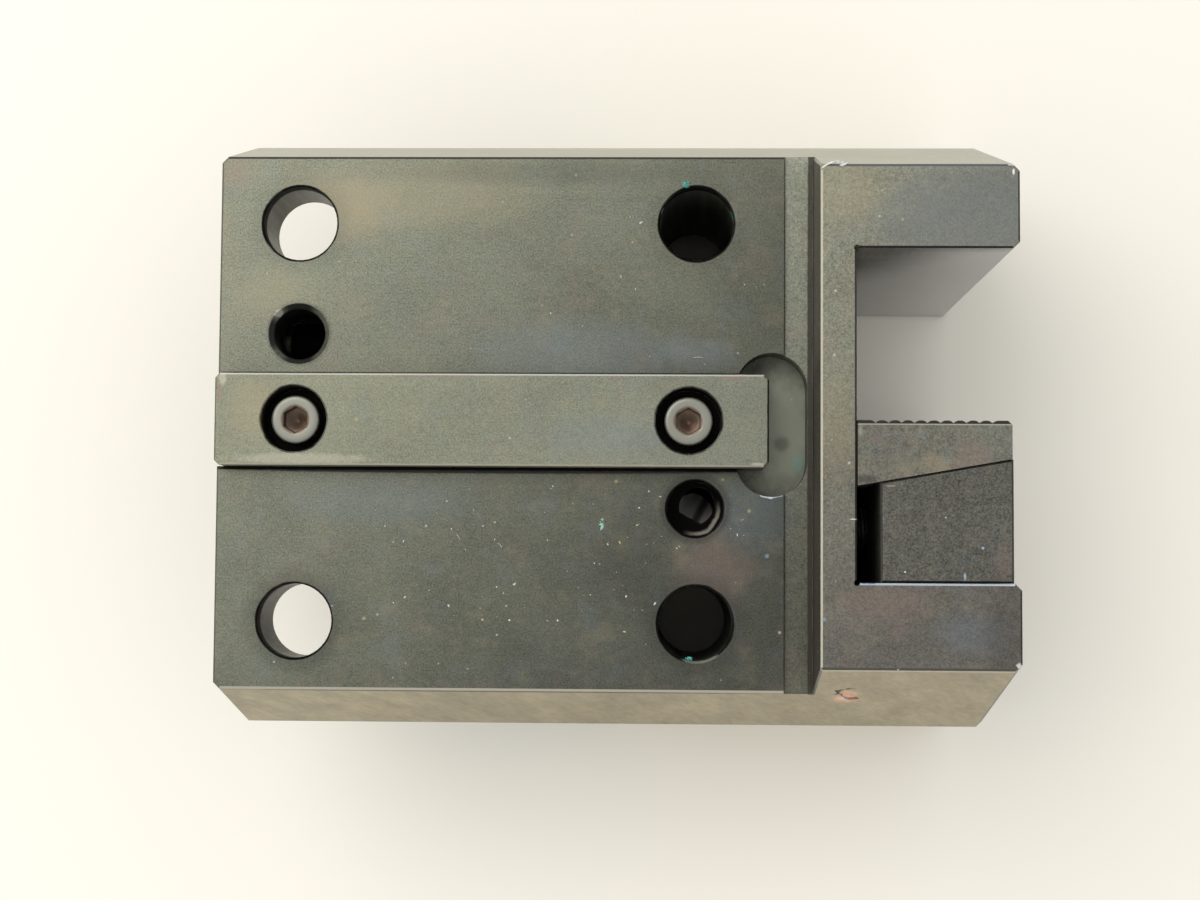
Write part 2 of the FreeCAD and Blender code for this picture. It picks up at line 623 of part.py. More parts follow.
def coolant_ways(body):
    """Two ports on the mounting face, a gallery from the plain end, and an outlet in the far face."""
    port_a = new_sketch(body, "port_a_circle", "XY_Plane")
    add_circle(port_a, "port_a_across", "port_a_up", "port_a_bore")
    pocket(body, "port_a", port_a, "port_a_depth")
    port_b = new_sketch(body, "port_b_circle", "XY_Plane")
    add_circle(port_b, "port_b_across", "port_b_up", "port_b_bore")
    pocket(body, "port_b", port_b, "port_b_depth")
    chamfer(body, "port_a_mouth", "port_a_chamfer", rim(0, "port_a_across", "port_a_up", "port_a_bore"))
    chamfer(body, "port_b_mouth", "port_b_chamfer", rim(0, "port_b_across", "port_b_up", "port_b_bore"))
    gallery = new_sketch(body, "gallery_circle", "YZ_Plane", "outlet_place")
    add_circle(gallery, "port_a_up", "gallery_level", "gallery_bore")
    pocket(body, "gallery", gallery)
    plug = new_sketch(body, "plug_circle", "YZ_Plane", "plug_seat")
    add_circle(plug, "port_a_up", "gallery_level", "plug_tap")
    pocket(body, "plug_thread_hole", plug)
    outlet = new_sketch(body, "outlet_circle", "XY_Plane", "gallery_level")
    add_circle(outlet, "outlet_place", "port_a_up", "gallery_bore")
    pocket(body, "outlet", outlet)
    seat = new_sketch(body, "nozzle_circle", "XY_Plane", "nozzle_floor")
    add_circle(seat, "outlet_place", "port_a_up", "nozzle_seat")
    pocket(body, "nozzle_hole", seat)
    slanting_drilling(body)


def slanting_drilling(body):
    """Drilling from the floor of the port beside the head down to the outlet."""
    start = Vector(size("port_b_across"), size("port_b_up"), size("drill_lead") - size("port_b_depth"))
    finish = Vector(size("outlet_place"), size("port_a_up"), -size("outlet_join"))
    sketch = new_sketch(body, "slanting_circle", "XY_Plane")
    sketch.AttachmentOffset = Placement(start, Rotation(Vector(0, 0, -1), finish - start))
    add_circle(sketch, "middle", "middle", "port_b_drill")
    slanting_cut(body, "slanting_way", sketch, "drill_run")


def threaded_holes(body):
    """Threads for the key screws and the wedge screws, and the holes for the jaw's guide pins."""
    key = new_sketch(body, "key_thread_circles", "XY_Plane")
    add_circle(key, "key_screw_left", "middle", "key_tap")
    add_circle(key, "key_screw_right", "middle", "key_tap")
    pocket(body, "key_threads", key, "key_tap_depth")
    draw = new_sketch(body, "wedge_thread_circles", "YZ_Plane", "slot_floor")
    pins = new_sketch(body, "guide_pin_circles", "YZ_Plane", "slot_floor")
    for level in ("draw_near", "draw_far"):
        add_circle(draw, "draw_height", level, "draw_tap")
        add_circle(pins, "jaw_pin_height", level, "jaw_pin")
    pocket(body, "wedge_threads", draw, "draw_tap_depth")
    pocket(body, "guide_pin_holes", pins, "jaw_pin_depth")


def corner_reliefs(body):
    """Small rounds that free the corners of the tool slot for a sharp edged shank."""
    for name, up in (("upper_relief", "slot_above"), ("lower_relief", "slot_bottom")):
        sketch = new_sketch(body, name + "_circle", "XY_Plane")
        centre = Vector(size("slot_floor"), size(up), 0)
        index = sketch.addGeometry(Part.Circle(centre, Vector(0, 0, 1), size("slot_relief")))
        hold_point(sketch, index, 3, "slot_floor", up)
        number = sketch.addConstraint(Sketcher.Constraint("Radius", index, size("slot_relief")))
        bind(sketch, f"Constraints[{number}]", "slot_relief")
        pocket(body, name, sketch, symmetric=True)


def slanting_cut(body, name, sketch, depth):
    """Pocket from a tilted sketch, as deep as the cell named by depth."""
    before = body.Shape.Volume
    feature = body.newObject("PartDesign::Pocket", name)
    feature.Profile = sketch
    bind(feature, "Length", depth)
    document.recompute()
    if body.Shape.Volume >= before - LEAST_VOLUME:
        raise RuntimeError(f"{body.Label}: {name} removed nothing")
    return feature


def flank_dent(body):
    """Dent scraped into the lower flank of the head: an oblong sunk square to that flank."""
    slope = math.tan(math.radians(size("side_slope")))
    level = size("dent_level")
    centre = Vector(size("dent_across"), level * slope - size("pad_half_width"), level)
    outward = Vector(0, -1, slope).normalize()
    along_flank = Rotation(Vector(1, 0, 0), Vector(0, slope, 1), outward, "ZXY")
    lean = Rotation(Vector(0, 0, 1), size("dent_lean"))
    sketch = new_sketch(body, "dent_outline", "XY_Plane")
    sketch.AttachmentOffset = Placement(centre + outward * size("dent_lead"), along_flank * lean)
    add_oblong(sketch, "middle", "dent_low", "dent_high", "dent_wide")
    slanting_cut(body, "flank_dent", sketch, "dent_cut")


def knocked_corner(body):
    """Metal knocked off the head's upper corner beside the turret's edge, cut square to its diagonal."""
    outward = Vector(-1, 1, 1).normalize()
    corner = Vector(size("head_wall"), size("head_half"), size("head_rise"))
    sketch = new_sketch(body, "knock_outline", "XY_Plane")
    place = corner - outward * size("knock_back")
    sketch.AttachmentOffset = Placement(place, Rotation(Vector(0, 0, -1), outward))
    add_circle(sketch, "middle", "middle", "knock_across")
    slanting_cut(body, "corner_knock", sketch, "knock_across")


def make_holder():
    body = new_body("holder_body")
    holder_blank(body)
    tool_slot(body)
    chamfer(body, "corner_chamfers", "corner_break", corner_edges)
    chamfer(body, "rim_chamfers", "edge_break", rim_edges)
    corner_reliefs(body)
    key_groove(body)
    chamfer(body, "groove_chamfers", "groove_chamfer", groove_edges)
    mounting_bolts(body)
    coolant_ways(body)
    threaded_holes(body)
    flank_dent(body)
    knocked_corner(body)
    return body


def make_key():
    """Hardened key: a ground bar with two bores for its screws' heads."""
    body = new_body("turret_key")
    outline = new_sketch(body, "key_outline", "XY_Plane", "key_bottom")
    add_outline(outline, (
        ("key_left", "key_half_low"),
        ("key_right", "key_half_low"),
        ("key_right", "key_half"),
        ("key_left", "key_half"),
    ))
    pad(body, "bar", outline, "key_height")

    def upright(edge):
        return is_straight(edge) and close(edge.Length, size("key_height"))

    def top(edge):
        return close(middle_of(edge).z, size("key_proud"))

    chamfer(body, "end_chamfers", "key_corner", upright)
    chamfer(body, "top_chamfers", "key_edge", top)
    recess = new_sketch(body, "key_recesses", "XY_Plane", "key_screw_seat")
    holes = new_sketch(body, "key_holes", "XY_Plane")
    for across in ("key_screw_left", "key_screw_right"):
        add_circle(recess, across, "middle", "key_screw_bore")
        add_circle(holes, across, "middle", "key_screw_hole")
    pocket(body, "head_recesses", recess, turned=True)
    pocket(body, "screw_holes", holes, symmetric=True)
    return body


def make_screw(label, kind, place, turn):
    """Socket head cap screw: a turned profile with a hexagon in its head, standing on its seat."""
    body = new_body(label)
    thread = size(f"{kind}_thread") / 2
    head = size(f"{kind}_head") / 2
    height = size(f"{kind}_head_height")
    length = size(f"{kind}_length")
    bevel = size("head_chamfer")
    corners = (
        Vector(0, 0, -length),
        Vector(thread, 0, -length),
        Vector(thread, 0, 0),
        Vector(head, 0, 0),
        Vector(head, 0, height - bevel),
        Vector(head - bevel, 0, height),
        Vector(0, 0, height),
    )
    profile = new_sketch(body, label + "_profile", "XZ_Plane")
    count = len(corners)
    for number in range(count):
        one = corners[number]
        other = corners[(number + 1) % count]
        profile.addGeometry(Part.LineSegment(Vector(one.x, one.z, 0), Vector(other.x, other.z, 0)))
    rows = (
        ("0", f"-sizes.{kind}_length"),
        (f"sizes.{kind}_thread / 2", f"-sizes.{kind}_length"),
        (f"sizes.{kind}_thread / 2", "0"),
        (f"sizes.{kind}_head / 2", "0"),
        (f"sizes.{kind}_head / 2", f"sizes.{kind}_head_height - sizes.head_chamfer"),
        (f"sizes.{kind}_head / 2 - sizes.head_chamfer", f"sizes.{kind}_head_height"),
        ("0", f"sizes.{kind}_head_height"),
    )
    for number in range(count):
        profile.addConstraint(Sketcher.Constraint("Coincident", number, 2, (number + 1) % count, 1))
        across = ("DistanceX", corners[number].x, rows[number][0])
        up = ("DistanceY", corners[number].z, rows[number][1])
        for word, value, formula in (across, up):
            held = profile.addConstraint(Sketcher.Constraint(word, number, 1, value))
            if formula != "0":
                profile.setExpression(f"Constraints[{held}]", formula)
    turned = body.newObject("PartDesign::Revolution", label + "_turned")
    turned.Profile = profile
    turned.ReferenceAxis = (profile, ["V_Axis"])
    turned.Angle = TURN
    document.recompute()
    socket = body.newObject("PartDesign::SubtractivePrism", label + "_socket")
    socket.Polygon = HEXAGON_COUNT
    socket.setExpression("Circumradius", f"sizes.{kind}_socket / sqrt(3)")
    socket.setExpression("Height", f"sizes.{kind}_head_height")
    socket.setExpression("AttachmentOffset.Base.z", f"sizes.{kind}_head_height * sizes.socket_floor")
    socket.AttachmentSupport = [(origin_plane(body, "XY_Plane"), "")]
    socket.MapMode = "FlatFace"
    document.recompute()
    for axis, alias in zip("xyz", place):
        bind(body, f"Placement.Base.{axis}", alias)
    body.Placement = Placement(Vector(*[size(alias) for alias in place]), turn)
    return body


def make_jaw():
    """Clamping jaw: a tapered bar with lengthwise ribs that bite the shank."""
    body = new_body("clamp_jaw")
    outline = new_sketch(body, "jaw_outline", "XY_Plane", "insert_top")
    add_outline(outline, (
        ("jaw_left", "jaw_left_low"),
        ("jaw_right", "jaw_right_low"),
        ("jaw_right", "jaw_corner_height"),
        ("jaw_corner_place", "jaw_top"),
        ("jaw_left", "jaw_top"),
    ))
    pad(body, "jaw_bar", outline, "insert_length", turned=True)
    slots = new_sketch(body, "pin_slots", "YZ_Plane", "jaw_left")
    for high, low in (("pin_near_high", "pin_near_low"), ("pin_far_high", "pin_far_low")):
        add_outline(slots, (
            ("pin_slot_low", low),
            ("pin_slot_high", low),
            ("pin_slot_high", high),
            ("pin_slot_low", high),
        ))
    pocket(body, "guide_slots", slots, "pin_slot_depth", turned=True)
    gap = new_sketch(body, "rib_gap", "XY_Plane", "insert_top")
    add_rib_gap(gap)
    cut = pocket(body, "rib_groove", gap)
    row = body.newObject("PartDesign::LinearPattern", "rib_row")
    row.Originals = [cut]
    row.Direction = (origin_plane(body, "X_Axis"), [""])
    bind(row, "Length", "rib_run")
    bind(row, "Occurrences", "groove_count")
    body.Tip = row
    document.recompute()
    return body


def make_wedge():
    """Clamping wedge: its level side runs on the lower arm, its sloping side lifts the jaw."""
    body = new_body("clamp_wedge")
    outline = new_sketch(body, "wedge_outline", "XY_Plane", "insert_top")
    add_outline(outline, (
        ("wedge_left", "wedge_bottom"),
        ("wedge_right", "wedge_bottom"),
        ("wedge_right", "wedge_right_top"),
        ("wedge_left", "wedge_left_top"),
    ))
    pad(body, "wedge_bar", outline, "insert_length", turned=True)

    def end_edge(edge):
        return close(edge.valueAt(edge.FirstParameter).z, edge.valueAt(edge.LastParameter).z)

    chamfer(body, "wedge_chamfers", "wedge_edge", end_edge)
    recess = new_sketch(body, "head_circles", "YZ_Plane", "draw_seat")
    holes = new_sketch(body, "hole_circles", "YZ_Plane", "wedge_right")
    grooves = new_sketch(body, "clip_circles", "YZ_Plane", "clip_end")
    for level in ("draw_near", "draw_far"):
        add_circle(recess, "draw_height", level, "draw_head_bore")
        add_circle(holes, "draw_height", level, "draw_hole")
        add_circle(grooves, "draw_height", level, "clip_groove")
    pocket(body, "head_recesses", recess, turned=True)
    pocket(body, "screw_holes", holes)
    pocket(body, "clip_grooves", grooves, "clip_groove_width")
    return body


def make_clip(label, level):
    """Open retaining ring with two drilled ears, sprung into its groove above a wedge screw."""
    outer = size("clip_outer") / 2
    inner = size("clip_inner") / 2
    thick = size("clip_thick")
    opening = size("clip_opening")
    ear = size("clip_ear")
    across = Vector(1, 0, 0)
    ear_place = inner + size("clip_ear_out")
    ear_side = opening / 2 + size("clip_ear_apart")
    ring = Part.makeCylinder(outer, thick, Vector(), across)
    ring = ring.cut(Part.makeCylinder(inner, thick, Vector(), across))
    gap = Part.makeBox(thick, 2 * outer, opening, Vector(0, 0, -opening / 2))
    ring = ring.cut(gap)
    for side in (-1, 1):
        spot = Vector(0, ear_place, side * ear_side)
        ring = ring.fuse(Part.makeCylinder(ear, thick, spot, across))
    bounds = Part.makeCylinder(outer, thick, Vector(), across)
    ring = ring.common(bounds).cut(gap)
    for side in (-1, 1):
        spot = Vector(0, ear_place, side * ear_side)
        ring = ring.cut(Part.makeCylinder(size("clip_eye"), thick, spot, across))
    feature = document.addObject("Part::Feature", label)
    feature.Label = label
    feature.Shape = ring.removeSplitter().Solids[0]
    feature.Placement = Placement(Vector(size("clip_start"), size("draw_height"), size(level)), Rotation())
    return feature


def make_pin(label, level):
    """Dowel that keeps the jaw in the slot lengthwise and lets it rise and fall."""
    pin = document.addObject("Part::Cylinder", label)
    pin.Label = label
    pin.setExpression("Radius", "sizes.jaw_pin / 2")
    bind(pin, "Height", "pin_length")
    place = Vector(size("pin_start"), size("jaw_pin_height"), size(level))
    pin.Placement = Placement(place, Rotation(Vector(0, 0, 1), Vector(1, 0, 0)))
    document.recompute()
    return pin


def make_plug():
    """Socket set screw that closes the gallery at the plain end."""
    body = new_body("gallery_plug")
    outline = new_sketch(body, "plug_outline", "XY_Plane")
    add_circle(outline, "middle", "middle", "plug_thread")
    pad(body, "plug_bar", outline, "plug_length")
    socket = body.newObject("PartDesign::SubtractivePrism", "plug_socket_hole")
    socket.Polygon = HEXAGON_COUNT
    socket.setExpression("Circumradius", "sizes.plug_socket / sqrt(3)")
    socket.setExpression("Height", "sizes.plug_length * sizes.plug_socket_share")
    socket.AttachmentSupport = [(origin_plane(body, "XY_Plane"), "")]
    socket.MapMode = "FlatFace"
    document.recompute()
    place = Vector(size("left_end") + size("plug_sunk"), size("port_a_up"), size("gallery_level"))
    body.Placement = Placement(place, Rotation(Vector(0, 0, 1), Vector(1, 0, 0)))
    return body


def nozzle_place():
    return Vector(size("outlet_place"), size("port_a_up"), size("ball_level"))


def make_ball():
    """Nozzle ball: a drilled sphere with two flats."""
    radius = size("ball_radius")
    flat = size("ball_flat")
    ball = Part.makeSphere(radius)
    slab = Part.makeBox(4 * radius, 4 * radius, 2 * flat, Vector(-2 * radius, -2 * radius, -flat))
    ball = ball.common(slab)
    ball = ball.cut(Part.makeCylinder(size("ball_jet") / 2, 4 * radius, Vector(0, 0, -2 * radius)))
    feature = document.addObject("Part::Feature", "nozzle_ball")
    feature.Label = "nozzle_ball"
    feature.Shape = ball
    feature.Placement = Placement(nozzle_place(), Rotation())
    return feature


def turned_ring(label, corners):
    """Ring turned from a half section, its corners given as radius and height from the ball's centre."""
    points = [Vector(radius, 0, height) for radius, height in corners]
    section = Part.Face(Part.makePolygon(points + points[:1]))
    ring = section.revolve(Vector(), Vector(0, 0, 1), TURN)
    feature = document.addObject("Part::Feature", label)
    feature.Label = label
    return feature, ring


def make_nozzle_ring():
    """Threaded ring that holds the nozzle ball on a 45 degree cone, with two slots for a pin spanner."""
    outer = size("nozzle_seat") / 2 - size("thread_room")
    bottom = -size("ball_depth")
    top = size("ring_over_ball")
    inner = size("ball_radius") + size("ring_room")
    mouth = size("ring_mouth") / 2
    reach = size("cone_reach")
    feature, ring = turned_ring("nozzle_ring", (
        (mouth, bottom),
        (outer, bottom),
        (outer, top),
        (inner, top),
        (inner, inner - reach),
        (mouth, mouth - reach),
    ))
    for turn in (0, 180):
        slot = Part.makeBox(
            outer,
            size("spanner_slot"),
            size("spanner_slot"),
            Vector(mouth + size("spanner_slot") / 2, -size("spanner_slot") / 2, bottom),
        )
        slot.rotate(Vector(), Vector(0, 0, 1), turn)
        ring = ring.cut(slot)
    feature.Shape = ring
    feature.Placement = Placement(nozzle_place(), Rotation())
    return feature


def make_seal():
    """Soft seat clamped by the threaded ring, with a cone of its own against the back of the ball."""
    outer = size("nozzle_seat") / 2 - size("seal_room")
    hole = size("seal_bore") / 2
    low = size("ring_over_ball")
    high = size("nozzle_seat_depth") - size("ball_depth")
    reach = size("cone_reach")
    feature, ring = turned_ring("nozzle_seal", (
        (reach - low, low),
        (outer, low),
        (outer, high),
        (hole, high),
        (hole, reach - hole),
    ))
    feature.Shape = ring
    feature.Placement = Placement(nozzle_place(), Rotation())
    return feature


def make_all():
    upright = Rotation()
    outward = Rotation(Vector(0, 0, 1), Vector(1, 0, 0))
    nodes = [make_holder(), make_key()]
    for side in ("left", "right"):
        place = ("key_screw_" + side, "middle", "key_screw_seat")
        nodes.append(make_screw("key_screw_at_" + side, "key_screw", place, upright))
    nodes.append(make_jaw())
    nodes.append(make_wedge())
    for side in ("near", "far"):
        place = ("draw_seat", "draw_height", "draw_" + side)
        nodes.append(make_screw("wedge_screw_" + side, "draw", place, outward))
        nodes.append(make_clip("wedge_clip_" + side, "draw_" + side))
        nodes.append(make_pin("jaw_pin_" + side, "draw_" + side))
    nodes += [make_plug(), make_ball(), make_nozzle_ring(), make_seal()]
    return nodes


def check(nodes):
    """Stops if any object failed or any finished piece is not one sound solid."""
    document.recompute()
    for item in document.Objects:
        if "Invalid" in item.State or "Error" in item.State:
            raise RuntimeError(f"{item.Label} failed: {item.State}")
    for node in nodes:
        if node.Shape.isNull() or not node.Shape.isValid():
            raise RuntimeError(f"{node.Label} has no sound shape")
        if len(node.Shape.Solids) != 1:
            raise RuntimeError(f"{node.Label} has {len(node.Shape.Solids)} solids")


def write(nodes):
    os.makedirs(NODE_FOLDER, exist_ok=True)
    for node in nodes:
        node.Shape.exportStep(f"{NODE_FOLDER}/{node.Label}.step")
        box = node.Shape.BoundBox
        low = f"{box.XMin:.2f} {box.YMin:.2f} {box.ZMin:.2f}"
        high = f"{box.XMax:.2f} {box.YMax:.2f} {box.ZMax:.2f}"
        print(f"{node.Label}: {node.Shape.Volume:.0f} mm3, {low} to {high}")


pieces = make_all()
check(pieces)
write(pieces)
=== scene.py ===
"""Turret tool holder: finishes of its pieces, with painted shade and highlights, detailed screws, marks of
use, floor, lamps and camera.

Lengths are in metres, in the part's own frame: the origin is the middle of the four mounting bolts on the
mounting face, +Z points out of that face and +X towards the clamping head.
"""

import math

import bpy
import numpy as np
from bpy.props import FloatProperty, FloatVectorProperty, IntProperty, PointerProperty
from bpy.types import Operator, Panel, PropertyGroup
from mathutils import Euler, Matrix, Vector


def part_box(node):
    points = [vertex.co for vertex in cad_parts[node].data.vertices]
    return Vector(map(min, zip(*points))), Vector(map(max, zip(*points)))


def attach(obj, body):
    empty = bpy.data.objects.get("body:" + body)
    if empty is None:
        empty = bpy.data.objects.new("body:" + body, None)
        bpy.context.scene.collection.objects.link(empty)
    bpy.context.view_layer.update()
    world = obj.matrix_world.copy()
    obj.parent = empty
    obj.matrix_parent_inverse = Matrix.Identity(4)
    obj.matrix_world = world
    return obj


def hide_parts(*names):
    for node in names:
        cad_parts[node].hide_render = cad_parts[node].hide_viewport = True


bl_info = {
    "name": "Turret Tool Holder",
    "version": (1, 0, 0),
    "blender": (4, 5, 0),
    "location": "View3D > Sidebar > Tool Holder",
    "description": "Finishes, screws, marks of use and a plain stage for a turret tool holder",
    "category": "Object",
}

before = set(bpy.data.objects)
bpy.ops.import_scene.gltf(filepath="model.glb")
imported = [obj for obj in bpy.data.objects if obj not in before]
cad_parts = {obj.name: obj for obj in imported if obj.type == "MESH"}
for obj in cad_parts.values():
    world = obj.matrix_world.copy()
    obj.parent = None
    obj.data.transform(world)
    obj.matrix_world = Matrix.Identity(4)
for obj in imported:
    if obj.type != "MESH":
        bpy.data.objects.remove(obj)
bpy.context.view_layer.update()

MM = 0.001
HEXAGON = 6
FULL_TURN = 2 * math.pi
SCREW_DRAW_AXIS = Vector((1, 0, 0))
PLUG_AXIS = Vector((-1, 0, 0))
KEY_SCREW_AXIS = Vector((0, 0, 1))
PHOTO_WIDTH = 1200
SENSOR = 36.0


def corner(node, side):
    """Lowest (side 0) or highest (side 1) corner of a node's box at rest, as an array."""
    return np.array(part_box(node)[side], float)


BLOCK_LOW = corner("holder_body", 0)
BLOCK_HIGH = corner("holder_body", 1)
FLOOR_HEIGHT = BLOCK_LOW[2]


def tone(name, description, default):
    """A colour that a user can change."""
    return FloatVectorProperty(
        name=name, description=description, default=default, size=3, min=0.0, max=1.0, subtype="COLOR"
    )


def length(name, description, default):
    """A length in metres that a user can change."""
    return FloatProperty(
        name=name, description=description, default=default, min=0.0,
        precision=5, subtype="DISTANCE", unit="LENGTH"
    )


def share(name, description, default):
    """A share from 0 to 1 that a user can change."""
    return FloatProperty(
        name=name, description=description, default=default, min=0.0, max=1.0, subtype="FACTOR"
    )


def power(name, description, default):
    """The power of a lamp, which a user can change."""
    return FloatProperty(name=name, description=description, default=default, min=0.0, subtype="POWER")


def position(name, description, default):
    """A place in metres that a user can change."""
    return FloatVectorProperty(name=name, description=description, default=default, subtype="TRANSLATION")


def whole_number(name, description, default, low, high):
    """A whole number that a user can change."""
    return IntProperty(name=name, description=description, default=default, min=low, max=high)


class HolderFinish(PropertyGroup):
    """Colours and surface values of the pieces."""

    # oxide_pale and oxide_deep: the pad runs from the first at its plain end to the second at its far corner;
    # that fall from light to dark is painted light and shade
    oxide_pale: tone("Pale oxide", "Black oxide where it has an olive sheen", (0.190, 0.195, 0.138))
    oxide_deep: tone("Deep oxide", "Black oxide at the far corner of the pad", (0.058, 0.060, 0.044))
    head_pale: tone("Pale head", "Oxide on the head above the tool slot", (0.225, 0.226, 0.162))
    head_deep: tone("Deep head", "Oxide on the head below the tool slot", (0.108, 0.098, 0.082))
    head_cool: tone("Cool head", "Blue grey oxide at the head's upper right", (0.140, 0.148, 0.150))
    oblong: tone("Run-out", "Milled floor of the run-out slot", (0.30, 0.31, 0.235))
    strip: tone("Relief strip", "Milled strip beside the head", (0.262, 0.270, 0.204))
    strip_deep: tone("Deep strip", "Relief strip at its lower end", (0.100, 0.099, 0.070))
    # wall: painted shade on the head's wall beside the relief strip and along the strip's foot, which are
    # turned from the light
    wall: tone("Brown wall", "Wall of the head beside the relief strip", (0.035, 0.027, 0.018))
    oxide_warm: tone("Straw tint", "Yellowish film on the oxide", (0.33, 0.27, 0.16))
    oxide_rose: tone("Rose tint", "Pinkish brown film on the oxide", (0.26, 0.17, 0.14))
    oxide_cool: tone("Blue tint", "Blue grey film on the oxide", (0.16, 0.20, 0.23))
    # flank and flank_top: pale tone of the ground long sides, partly their ground finish and partly a painted
    # reflection of the pale floor
    flank: tone("Lower flank", "Ground long side below the clamp", (0.315, 0.262, 0.160))
    flank_top: tone("Upper flank", "Ground long side above the tool slot", (0.42, 0.41, 0.34))
    # lit_slot_wall: painted light on the slot's upper wall towards the slot's open end, where light comes in
    lit_slot_wall: tone("Slot wall", "Shank's seat in the slot, where it is rubbed pale", (0.58, 0.57, 0.55))
    # pale_edge_highlight: painted highlight on chamfers turned to the light, also in a few small pale marks
    pale_edge_highlight: tone("Pale edge", "Chamfers rubbed to a cream tone", (0.50, 0.46, 0.36))
    # edge_glint: painted reflection of the sky on chamfers, and painted glints in a bore and along the
    # run-out slot's lower edge
    edge_glint: tone("Bright edge", "Chamfer that glints pale blue", (0.62, 0.70, 0.76))
    # soot_and_shade: near-black colour; painted shade in the bores, ports, recesses, under the key and on
    # chamfers turned from the light, and dark oily dirt round the bores and in a few patches
    soot_and_shade: tone("Soot", "Thick oxide and oil in edges and round bores", (0.012, 0.011, 0.010))
    # bare: worn steel, also used for a painted highlight on the key's upper chamfer and painted light on the
    # drilling in the second port
    bare: tone("Bare steel", "Steel where the oxide is knocked off", (0.72, 0.70, 0.66))
    scraped: tone("Scraped steel", "Copper coloured metal in the scrape on the flank", (0.62, 0.33, 0.22))
    residue: tone("Thread residue", "Turquoise residue of thread compound", (0.10, 0.42, 0.36))
    blue: tone("Blue residue", "Blue marking ink in the corner of the slot", (0.03, 0.10, 0.34))
    key: tone("Key", "Ground and thinly blackened key, at the plain end", (0.208, 0.212, 0.145))
    key_far: tone("Far key", "Key beside the head", (0.185, 0.190, 0.138))
    jaw: tone("Jaw", "Blackened jaw", (0.140, 0.136, 0.106))
    wedge: tone("Wedge", "Blackened wedge", (0.092, 0.089, 0.070))
    screw: tone("Screw", "Oiled black screw", (0.09, 0.09, 0.085))
    dirt: tone("Dirt", "Brown dirt in the sockets of the key screws", (0.13, 0.078, 0.045))
    screw_rim: tone("Screw rim", "Rubbed rim of a screw's head", (0.26, 0.255, 0.205))
    spring: tone("Spring steel", "Phosphated retaining rings", (0.10, 0.10, 0.105))
    ground: tone("Ground steel", "Guide pins", (0.55, 0.55, 0.54))
    nozzle: tone("Nozzle", "Turned steel of the nozzle", (0.46, 0.46, 0.43))
    rubber: tone("Rubber", "Soft seat of the nozzle", (0.02, 0.02, 0.021))
    dust: tone("Dust", "Pale dust and paper fibres", (0.62, 0.62, 0.55))
    dust_straw: tone("Straw dust", "Yellowish specks", (0.52, 0.47, 0.26))
    dust_blue: tone("Blue dust", "Few bluish specks", (0.30, 0.42, 0.50))
    dust_green: tone("Green dust", "Few greenish specks", (0.30, 0.52, 0.40))
    metallic: share("Metallic", "How metallic the oxide looks", 0.55)
    roughness: share("Roughness", "Roughness of the satin oxide", 0.42)
    edge_width: length("Worn edge", "Width of the rubbed line along an edge", 0.00022)


class ScrewSizes(PropertyGroup):
    """Sizes of the screws that the frame's boxes don't give."""

    key_thread: length("Key screw thread", "Thread diameter of the key screws", 0.005)
    key_hexagon: length("Key screw hexagon", "Width across flats of the key screws' socket", 0.004)
    key_pitch: length("Key screw pitch", "Pitch of the key screws", 0.0008)
    draw_thread: length("Wedge screw thread", "Thread diameter of the wedge screws", 0.008)
    draw_hexagon: length("Wedge screw hexagon", "Width across flats of the wedge screws' socket", 0.006)
    draw_pitch: length("Wedge screw pitch", "Pitch of the wedge screws", 0.00125)
    plug_hexagon: length("Plug hexagon", "Width across flats of the gallery plug's socket", 0.005)
    plug_pitch: length("Plug pitch", "Pitch of the gallery plug", 0.001)
    rounds: whole_number("Points round", "Points round a screw", 144, 36, 288)
    knurls: whole_number("Knurls", "Ridges round a screw's head", 36, 12, 72)
    knurl_depth: length("Knurl depth", "Depth of the ridges on a screw's head", 0.00012)
    turn_rows: whole_number("Rows a turn", "Rows of points in a turn of thread", 6, 4, 12)


class StageSettings(PropertyGroup):
    """Floor, lamps and camera."""

    floor: tone("Floor", "Plain pale floor", (0.93, 0.885, 0.775))
    sky: tone("Sky", "Even light from all round", (0.97, 0.98, 1.0))
    sky_level: FloatProperty(
        name="Sky level", description="Strength of the even light", default=0.93, min=0.0
    )
    floor_size: length("Floor size", "Side of the square floor", 6.0)
    main_level: power("Main lamp", "Power of the large lamp", 4.1)
    main_size: length("Main lamp size", "Side of the large lamp", 0.75)
    main_place: position("Main lamp place", "Where the large lamp hangs", (-0.42, 0.46, 0.95))
    side_level: power("Side lamp", "Power of the side lamp", 0.8)
    side_size: length("Side lamp size", "Side of the side lamp", 0.5)
    side_place: position("Side lamp place", "Where the side lamp stands", (-0.75, 0.05, 0.22))
    camera_tilt: FloatVectorProperty(
        name="Camera tilt", description="Tilt of the part in the camera's view",
        default=(-0.064, -0.030, -0.005), subtype="EULER", unit="ROTATION"
    )
    camera_shift: position(
        "Camera shift", "Place of the part's origin in the camera's view", (-0.018212, 0.004968, 0.0)
    )
    camera_reach: length("Camera distance", "From the camera to the part's origin", 0.36913)
    focal_pixels: FloatProperty(
        name="Focal length", description="Focal length in the photograph's pixels", default=2107.3
    )


# Shapes

def new_object(name, vertices, faces, smooth=True):
    """Mesh object from arrays of points and of corner numbers, with its place in its mesh."""
    mesh = bpy.data.meshes.new(name)
    mesh.from_pydata(vertices.tolist(), [], [face for block in faces for face in block.tolist()])
    mesh.polygons.foreach_set("use_smooth", np.full(len(mesh.polygons), smooth))
    mesh.validate()
    mesh.update()
    piece = bpy.data.objects.new(name, mesh)
    bpy.context.scene.collection.objects.link(piece)
    return piece


